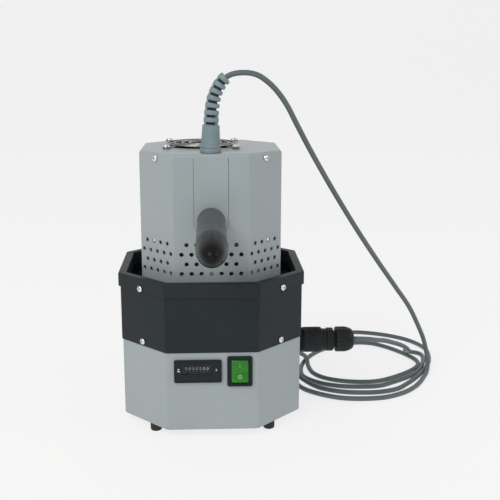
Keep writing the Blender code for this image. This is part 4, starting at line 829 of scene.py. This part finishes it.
switch_rings = [switch_ring(0.0, 2.2), switch_ring(0.0, 0.9), switch_ring(0.25, 0.3),
                switch_ring(0.9, 0.0), switch_ring(2.0, 0.0), switch_ring(2.5, 0.35)]
switch_barrel = box(bmesh.new(), SWITCH_X, SWITCH_Z, 10.95, 13.9, -PANEL - 1, -BODY_HALF + 20)
switch_well = loft([(panel(SWITCH_X, SWITCH_Z, 8.8, 12.4, 0.9), BODY_HALF - 15),
                    (panel(SWITCH_X, SWITCH_Z, 8.8, 12.4, 0.9), SWITCH_FACE + 5)], turn=UPRIGHT)
piece("switch_bezel", loft(switch_rings, turn=UPRIGHT), "switch_black", replaces=("switch_body",),
      even=True, cuts=[("UNION", switch_barrel), switch_well])

HALF = 10.9
END = 6.2
rocker_side = [(-END + 0.3, -HALF - 0.15), (-END + 1.2, -HALF - 0.6), (0.0, -HALF - 0.4), (6.0, -6.0),
               (6.0, 6.0), (0.0, HALF + 0.4), (-END + 1.2, HALF + 0.6), (-END + 0.3, HALF + 0.15),
               (-END, HALF - 0.5)]
for step in range(1, 16):
    share = step / 16
    height = (HALF - 0.5) * (1 - 2 * share)
    rocker_side.append((-5.0 - 1.2 * (abs(height) / HALF) ** 1.25, height))
rocker_side.append((-END, -HALF + 0.5))
ROCKER_AXES = Matrix(((0, 0, 1, 0), (1, 0, 0, 0), (0, 1, 0, 0), (0, 0, 0, 1)))
TILT = Matrix.Rotation(math.radians(-8.0), 4, "X")
rocker_rings = []
for inset, offset in ((0.7, -8.5), (0.2, -8.3), (0.0, -7.8), (0.0, 7.8), (0.2, 8.3), (0.7, 8.5)):
    shrink = 1 - inset / 8.0
    rocker_rings.append(([(y * shrink, z * shrink) for y, z in rocker_side], offset))
PIVOT = Vector((SWITCH_X, -BODY_HALF + 2.0, SWITCH_Z))
piece("rocker_key", loft(rocker_rings, turn=TILT @ ROCKER_AXES), "rocker_green", "rocker",
      ("switch_rocker",), at=PIVOT, angle=50)


def on_rocker(height, outline_points):
    """A thin mark on the rocker's face at a height over its pivot."""
    lean = math.atan2(1.2, HALF) * (1 if height > 0 else -1)
    surface = -5.0 - 1.2 * (abs(height) / HALF) ** 1.25
    place = Matrix.Translation((0, surface, height)) @ Matrix.Rotation(lean, 4, "X")
    return loft([(outline_points, -0.05), (outline_points, 0.09)], turn=TILT @ place @ UPRIGHT)


bar = on_rocker(5.6, rounded(rectangle(-0.4, 0.4, -1.9, 1.9), 0.2, 2))
piece("rocker_mark_on", bar, "mark_green", "rocker", at=PIVOT)
lean = -math.atan2(1.2, HALF)
ring_place = Matrix.Translation((0, -5.0 - 1.2 * (5.6 / HALF) ** 1.25, -5.6))
mark_ring = turned(bmesh.new(), [(1.35, -0.05), (1.95, -0.05), (1.95, 0.09), (1.35, 0.09)], 32,
                   TILT @ ring_place @ Matrix.Rotation(lean, 4, "X") @ UPRIGHT)
piece("rocker_mark_off", mark_ring, "mark_pale", "rocker", at=PIVOT)

# ==== Socket and plug ====

SIDE = BODY_HALF
PLUG_AXIS = along((0, PLUG_Y, PLUG_Z), (1, 0, 0))
flange = [(panel(0, 0, 13.6, 13.6, 2.4), 93.8), (panel(0, 0, 13.6, 13.6, 2.4), 95.6),
          (panel(0, 0, 13.0, 13.0, 2.0), 96.2)]
spigot = turned(bmesh.new(), [(0.0, SIDE - 17), (10.5, SIDE - 17), (10.5, 94.5), (10.0, 94.5),
                              (10.0, 105.2), (9.6, 105.7), (8.4, 105.7), (8.4, 96.3), (0.0, 96.3)], 48,
                PLUG_AXIS)
piece("socket_flange", loft(flange, turn=PLUG_AXIS), "socket_black", replaces=("outlet_socket",),
      cuts=[("UNION", spigot)], even=True)
for index, (side_y, side_z) in enumerate(QUADRANTS):
    place = Vector((96.05, PLUG_Y + side_y * 11.0, PLUG_Z + side_z * 11.0))
    small = screw_shape(2, 0.9, 1.5, 0.9, low=0.0)
    piece(f"flange_screw_{index + 1}", small, "screw_steel", "root", (), place, facing((1, 0, 0)))

TO_SIDE = facing((1, 0, 0)).to_4x4()


def plug_part(name, node, profile, ribs, depth, body="root", steps=144):
    """A ribbed part of the plug, turned about the plug's axis."""
    shape = turned(bmesh.new(), profile, steps, TO_SIDE, ribs, depth)
    return piece(name, shape, "plug_black", body, (node,), at=(0, PLUG_Y, PLUG_Z), angle=50)


ring_start, ring_end, bore = 96.5, 121.7, 10.4
R = 14.0
ring_profile = [(bore, ring_end), (bore, ring_start), (R - 1.0, ring_start),
                (R - 0.4, ring_start + 0.5), (R - 0.3, ring_start + 5.0), (R, ring_start + 5.6),
                (R, ring_start + 6.2, 0.0), (R, ring_start + 6.8, 1.0), (R, ring_end - 4.0, 1.0),
                (R, ring_end - 3.4, 0.0), (R, ring_end - 1.0, 0.0), (R - 0.7, ring_end, 0.0)]
ring_piece = plug_part("coupling_ring", "plug_ring", ring_profile, 32, 0.55, "ring", 192)
body_profile = [(0.0, 106.0), (10.1, 106.0), (10.1, 122.0), (12.0, 122.0), (12.0, 127.3), (12.6, 127.6),
                (13.0, 128.0, 0.0), (13.0, 128.5, 1.0), (13.0, 133.6, 1.0), (12.8, 134.3, 0.0),
                (12.0, 134.8), (9.2, 134.8), (9.2, 145.8), (0.0, 145.8)]
body_piece = plug_part("plug_shell", "plug_body", body_profile, 18, 0.5)
nut_profile = [(9.5, 146.1), (9.5, 137.4), (13.2, 137.4), (14.0, 138.2, 0.0), (14.0, 139.0, 1.0),
               (14.0, 148.4, 1.0), (13.7, 149.6, 0.4), (12.9, 152.6, 0.0), (11.6, 155.2), (10.4, 156.6),
               (9.4, 157.5), (4.4, 157.6), (3.2, 157.2), (3.15, 146.1)]
nut_piece = plug_part("cable_nut", "plug_nut", nut_profile, 16, 0.8)

# ==== Hood with its slot strip and handle ====

HOOD_BOTTOM = 138.3
HANDLE_Z = 221.0


def hood_outline(outset=0.0, bend=BEND):
    return octagon(HOOD_HALF, HOOD_CHAMFER, outset, max(bend, 0.4))


hood_rings = [(hood_outline(-SHEET, INSIDE), HOOD_TOP - 1.8), (hood_outline(-SHEET, INSIDE), HOOD_BOTTOM),
              (hood_outline(), HOOD_BOTTOM)]
FOLD = 3.0
for step in range(7):
    angle = math.pi / 2 * step / 6
    hood_rings.append((hood_outline(-FOLD * (1 - math.cos(angle))),
                       HOOD_TOP - FOLD * (1 - math.sin(angle))))
holes = bmesh.new()
faces = [(Vector(normal), HOOD_HALF, 6) for normal in ((0, -1, 0), (1, 0, 0), (0, 1, 0), (-1, 0, 0))]
faces += [(corner, HOOD_DIAGONAL, 4) for corner in CORNERS]
for normal, distance, count in faces:
    sideways = Vector((-normal.y, normal.x, 0))
    for row in range(4):
        across = count + 1 - row % 2
        for column in range(across):
            start = normal * (distance - 5) + sideways * (column - (across - 1) / 2) * 10
            start.z = 167.2 + 10 * row
            cylinder(holes, start, normal, 10, 2.25, 20)
FAN_X, FAN_Y = -9.5, 12.0
FAN_REACH = 35.75
GLAND_Y = -58
fan_corners = [(FAN_X + sx * FAN_REACH, FAN_Y + sy * FAN_REACH) for sx, sy in QUADRANTS]
roof = cylinder(bmesh.new(), (FAN_X, FAN_Y, HOOD_TOP - 5), (0, 0, 1), 10, 38, 96)
for x, y in fan_corners:
    cylinder(roof, (x, y, HOOD_TOP - 5), (0, 0, 1), 10, 2.2, 20)
cylinder(roof, (0, GLAND_Y, HOOD_TOP - 5), (0, 0, 1), 10, 7.9, 40)


def slot_outline(half, high):
    arc = [(half * math.cos(math.pi + math.pi * step / 32),
            HANDLE_Z + half * math.sin(math.pi + math.pi * step / 32)) for step in range(33)]
    return arc + [(half, high), (-half, high)]


slot = loft([(slot_outline(17.4, 284), HOOD_HALF - 5), (slot_outline(17.4, 284), HOOD_HALF + 5)],
            turn=UPRIGHT)
piece("hood_sheet", loft(hood_rings), "hood_paint", "hood", ("hood_shell",), even=True,
      cuts=[holes, roof, slot, corner_holes(HOOD_SCREW_Z, HOOD_DIAGONAL, SCREW_SHAFT + 0.25)])
strip_edge = [(slot_outline(17.05, 283.95), HOOD_HALF - 2.6),
              (slot_outline(17.05, 283.95), HOOD_HALF - 0.25),
              (slot_outline(16.8, 283.94), HOOD_HALF)]
backing = box(bmesh.new(), 0, HANDLE_Z + 19.5, 24, 38.5, -70.7, -68.7)
stud_hole = cylinder(bmesh.new(), (0, -HOOD_HALF - 5, HANDLE_Z), (0, 1, 0), 15, 4.3, 32)
piece("slot_strip", loft(strip_edge, turn=UPRIGHT), "hood_paint", "hood", ("handle_mount",), even=True,
      cuts=[("UNION", backing), stud_hole])

GRIP = 14.1
SEAM = 180.6
KNOB_END = 195.0
KNOB_DOME = 34.8
grip_profile = [(0.0, 60.5), (4.0, 60.5), (4.0, 72.8), (13.0, 72.8), (13.7, 73.1), (14.0, 73.8),
                (14.0, 179.4), (13.6, 180.0), (13.5, SEAM), (13.7, 181.2), (GRIP, 182.2),
                (GRIP, KNOB_END)]
for step in range(1, 19):
    angle = math.pi / 2 * step / 18
    reach = GRIP * math.cos(angle) if step < 18 else 0.0
    grip_profile.append((reach, KNOB_END + KNOB_DOME * math.sin(angle)))
grip = piece("grip", turned(bmesh.new(), grip_profile, 72, along((0, 0, HANDLE_Z), (0, -1, 0))),
             "grip_black", "hood", ("handle_grip",), angle=40)
# Barrel faces take the lighter finish, a painted reflection; the knob keeps the plain black.
grip.data.materials.append(FINISH["grip_barrel_painted_reflection"])
for face in grip.data.polygons:
    if face.center.y > -180.4 * MM:
        face.material_index = 1

# ==== Fan ====

ROTOR_LOW, ROTOR_HIGH = 264.4, 283.9
hub_profile = rounded_profile([(0.0, ROTOR_LOW), (16.5, ROTOR_LOW), (16.5, ROTOR_HIGH),
                               (0.0, ROTOR_HIGH)], 1.6)
rotor = turned(bmesh.new(), hub_profile, 56)
middle = (ROTOR_LOW + ROTOR_HIGH) / 2
for index in range(7):
    spin = 2 * math.pi * index / 7
    rings = []
    for station in range(8):
        radius = 15.5 + 21.2 * station / 7
        chord = 14.0 + 1.14 * station
        pitch = math.radians(52 - 3.2 * station)
        ring = []
        for step in range(16):
            around = 2 * math.pi * step / 16
            share = 0.5 * math.cos(around)
            thick = 0.75 * math.sin(around) * (1 - 0.35 * share)
            camber = 2.0 * (0.25 - share * share)
            across = share * chord * math.cos(pitch) - (thick + camber) * math.sin(pitch)
            height = share * chord * math.sin(pitch) + (thick + camber) * math.cos(pitch)
            angle = spin + across / radius
            ring.append((radius * math.cos(angle), radius * math.sin(angle), middle + height))
        rings.append(ring)
    ring_loft(rotor, rings, False)
piece("impeller", rotor, "fan_black", "fan", ("fan_rotor",), at=(FAN_X, FAN_Y, 0), angle=45)

guard = bmesh.new()
WIRE = 0.9
guard_z = 290.5
for radius in (13, 21, 29, 37):
    turned(guard, circle(WIRE, radius, guard_z), 96)
for (x, y), corner in zip(fan_corners, CORNERS):
    start = corner * 12.6 + Vector((0, 0, guard_z - 0.75))
    end = corner * (FAN_REACH * math.sqrt(2) - 3.6) + Vector((0, 0, 289.25))
    sweep(guard, [start.lerp(end, step / 6) for step in range(7)], WIRE, 12)
    turned(guard, circle(WIRE, 3.45, 289.25), 32, Matrix.Translation((x - FAN_X, y - FAN_Y, 0)))
piece("wire_guard", guard, "guard_chrome", "hood", ("fan_guard",), at=(FAN_X, FAN_Y, 0), angle=60)

places = []
for index, (x, y) in enumerate(fan_corners):
    spin = Matrix.Rotation(0.5 + index * 0.8, 3, "Z")
    places.append((f"fan_screw_{index + 1}", "hood", Vector((x, y, 290.1)), spin))
cross_screws(places, screw_shape(24, 1.9, 3.7, 1.9), 2.2, 2.0)

# ==== Gland and bend protector ====

gland_profile = [(7.6, 288.3), (10.2, 288.3), (10.5, 288.6), (10.5, 291.9), (10.2, 292.6), (9.7, 293.0),
                 (3.2, 293.0), (3.2, 276.9), (7.6, 276.9), (7.6, 281.9), (10.0, 281.9), (10.0, 285.9),
                 (7.6, 285.9)]
piece("gland_nut", turned(bmesh.new(), gland_profile, 48), "gland_grey", "hood", ("cable_gland",),
      at=(0, GLAND_Y, 0), angle=40)

SLEEVE = 22.0
PITCH = 7.0
RIDGE = 8.2
CORE = 4.5
length = tip_index * SPACING
SIDES = 48


def ease(value):
    value = min(max(value, 0.0), 1.0)
    return value * value * (3 - 2 * value)


def protector_radius(travel, angle):
    """Outer radius; the angle is 0 on the outside of the bend, where a spine joins the ribs."""
    taper = 1 - 0.22 * travel / length
    if travel < SLEEVE:
        flare = 0.25 * ease(1 - travel / 2)
        return (9.6 + flare) * (1 - travel / SLEEVE) + 8.5 * travel / SLEEVE
    ridge = (travel - SLEEVE) % PITCH
    number = int((travel - SLEEVE) / PITCH)
    outer = RIDGE * taper * (1 - 0.045 * min(abs((ridge - 4.9) / 2.1), 1.0) ** 3)
    groove = ease((ridge - 0.1) / 0.6) * ease((2.9 - ridge) / 0.6)
    if travel > length - 3:
        groove = 0.0
    spine = ease((math.radians(44) - abs(angle)) / math.radians(10))
    if number < 2:
        spine = max(spine, ease((abs(angle) - math.radians(130)) / math.radians(14)))
    return outer - (outer - CORE * (1 - 0.1 * travel / length)) * groove * (1 - 0.9 * spine)


def frame_at(index):
    """The place on the cable's line, its direction and the side that faces away from the bend."""
    tangent = (arc_line[index + 1] - arc_line[max(index - 1, 0)]).normalized()
    return arc_line[index], tangent, tangent.cross(bend_side).normalized()


def signed_angle(step):
    angle = 2 * math.pi * step / SIDES
    return angle if angle <= math.pi else angle - 2 * math.pi


rings = []
bend_side = Vector((0, 1, 0))
for index in range(tip_index + 1):
    point, tangent, outward = frame_at(index)
    ring = []
    for step in range(SIDES):
        angle = signed_angle(step)
        reach = protector_radius(index * SPACING, angle)
        ring.append(point + (outward * math.cos(angle) + bend_side * math.sin(angle)) * reach)
    rings.append(ring)
tip_radius = protector_radius(length, 0.0)
for inset, rise in ((0.35, 0.25), (1.2, 0.45)):
    rings.append([point + tangent * rise + outward * x + bend_side * y
                  for x, y in circle(tip_radius - inset, steps=SIDES)])
for index in list(range(tip_index, 0, -6)) + [0]:
    point, tangent, outward = frame_at(index)
    rings.append([point + outward * x + bend_side * y for x, y in circle(2.95, steps=SIDES)])
protector = piece("ribbed_protector", ring_loft(bmesh.new(), rings, True), "gland_grey", "hood",
                  ("bend_protector",), angle=50)
# Faces deep in the grooves take the darker finish, painted shade where the ribs hide the light.
protector.data.materials.append(FINISH["gland_groove_painted_shade"])
for index, face in enumerate(protector.data.polygons):
    ring, step = divmod(index, SIDES)
    travel = ring * SPACING
    depth = RIDGE * (1 - 0.22 * travel / length) - protector_radius(travel, signed_angle(step))
    if SLEEVE < travel < length and depth > 1.6:
        face.material_index = 1

# ==== Finishes of the nodes that keep their own shape ====

for node in frame["nodes"].values():
    for slot_of_node in node.material_slots:
        slot_of_node.material = FINISH[slot_of_node.material.name.split(".")[0]]

# ==== Floor, backdrop and light ====

stage = bmesh.new()
sections = [(-2.5, 0.0), (2.2, 0.0)]
for step in range(1, 9):
    angle = math.pi / 2 * step / 8
    sections.append((2.2 + 1.2 * math.sin(angle), 1.2 * (1 - math.cos(angle))))
sections.append((3.4, 4.5))
loops = [[stage.verts.new((x, y, z)) for x in (-4.5, 4.5)] for y, z in sections]
for low, high in zip(loops, loops[1:]):
    stage.faces.new((low[0], low[1], high[1], high[0]))
stage_mesh = bpy.data.meshes.new("studio_floor")
stage.to_mesh(stage_mesh)
stage.free()
stage_mesh.shade_smooth()
paper = bpy.data.materials.new("studio_paper")
paper.use_nodes = True
paper_shader = paper.node_tree.nodes["Principled BSDF"]
paper_shader.inputs["Base Color"].default_value = (0.2, 0.2, 0.2, 1.0)
paper_shader.inputs["Roughness"].default_value = 0.9
paper_shader.inputs["Specular IOR Level"].default_value = 0.1
paper_shader.inputs["Emission Color"].default_value = (1.0, 1.0, 1.0, 1.0)
paper_shader.inputs["Emission Strength"].default_value = 0.74
stage_mesh.materials.append(paper)
floor = bpy.data.objects.new("studio_floor", stage_mesh)
bpy.context.scene.collection.objects.link(floor)


def softbox(name, place, aim, size, power, colour):
    light = bpy.data.lights.new(name, "AREA")
    light.shape = "RECTANGLE"
    light.size, light.size_y = size
    light.energy = power
    light.color = colour
    made = bpy.data.objects.new(name, light)
    place, aim = Vector(place), Vector(aim)
    turn = (aim - place).to_track_quat("-Z", "Y").to_matrix().to_4x4()
    made.matrix_world = Matrix.Translation(place) @ turn
    bpy.context.scene.collection.objects.link(made)


softbox("key_light", (-0.9, -1.0, 1.5), (0.0, 0.0, 0.12), (0.9, 0.9), 15.5, (1.0, 0.95, 0.87))
softbox("front_light", (-0.2, -1.9, 0.9), (0.0, 0.0, 0.15), (1.4, 0.9), 6.0, (0.70, 0.88, 1.0))
softbox("side_light", (1.5, -0.3, 0.9), (0.0, 0.0, 0.15), (0.8, 1.0), 4.5, (1.0, 0.94, 0.83))
world = bpy.data.worlds.new("studio")
world.use_nodes = True
world.node_tree.nodes["Background"].inputs["Color"].default_value = (1.0, 1.0, 1.0, 1.0)
world.node_tree.nodes["Background"].inputs["Strength"].default_value = 0.47
bpy.context.scene.world = world
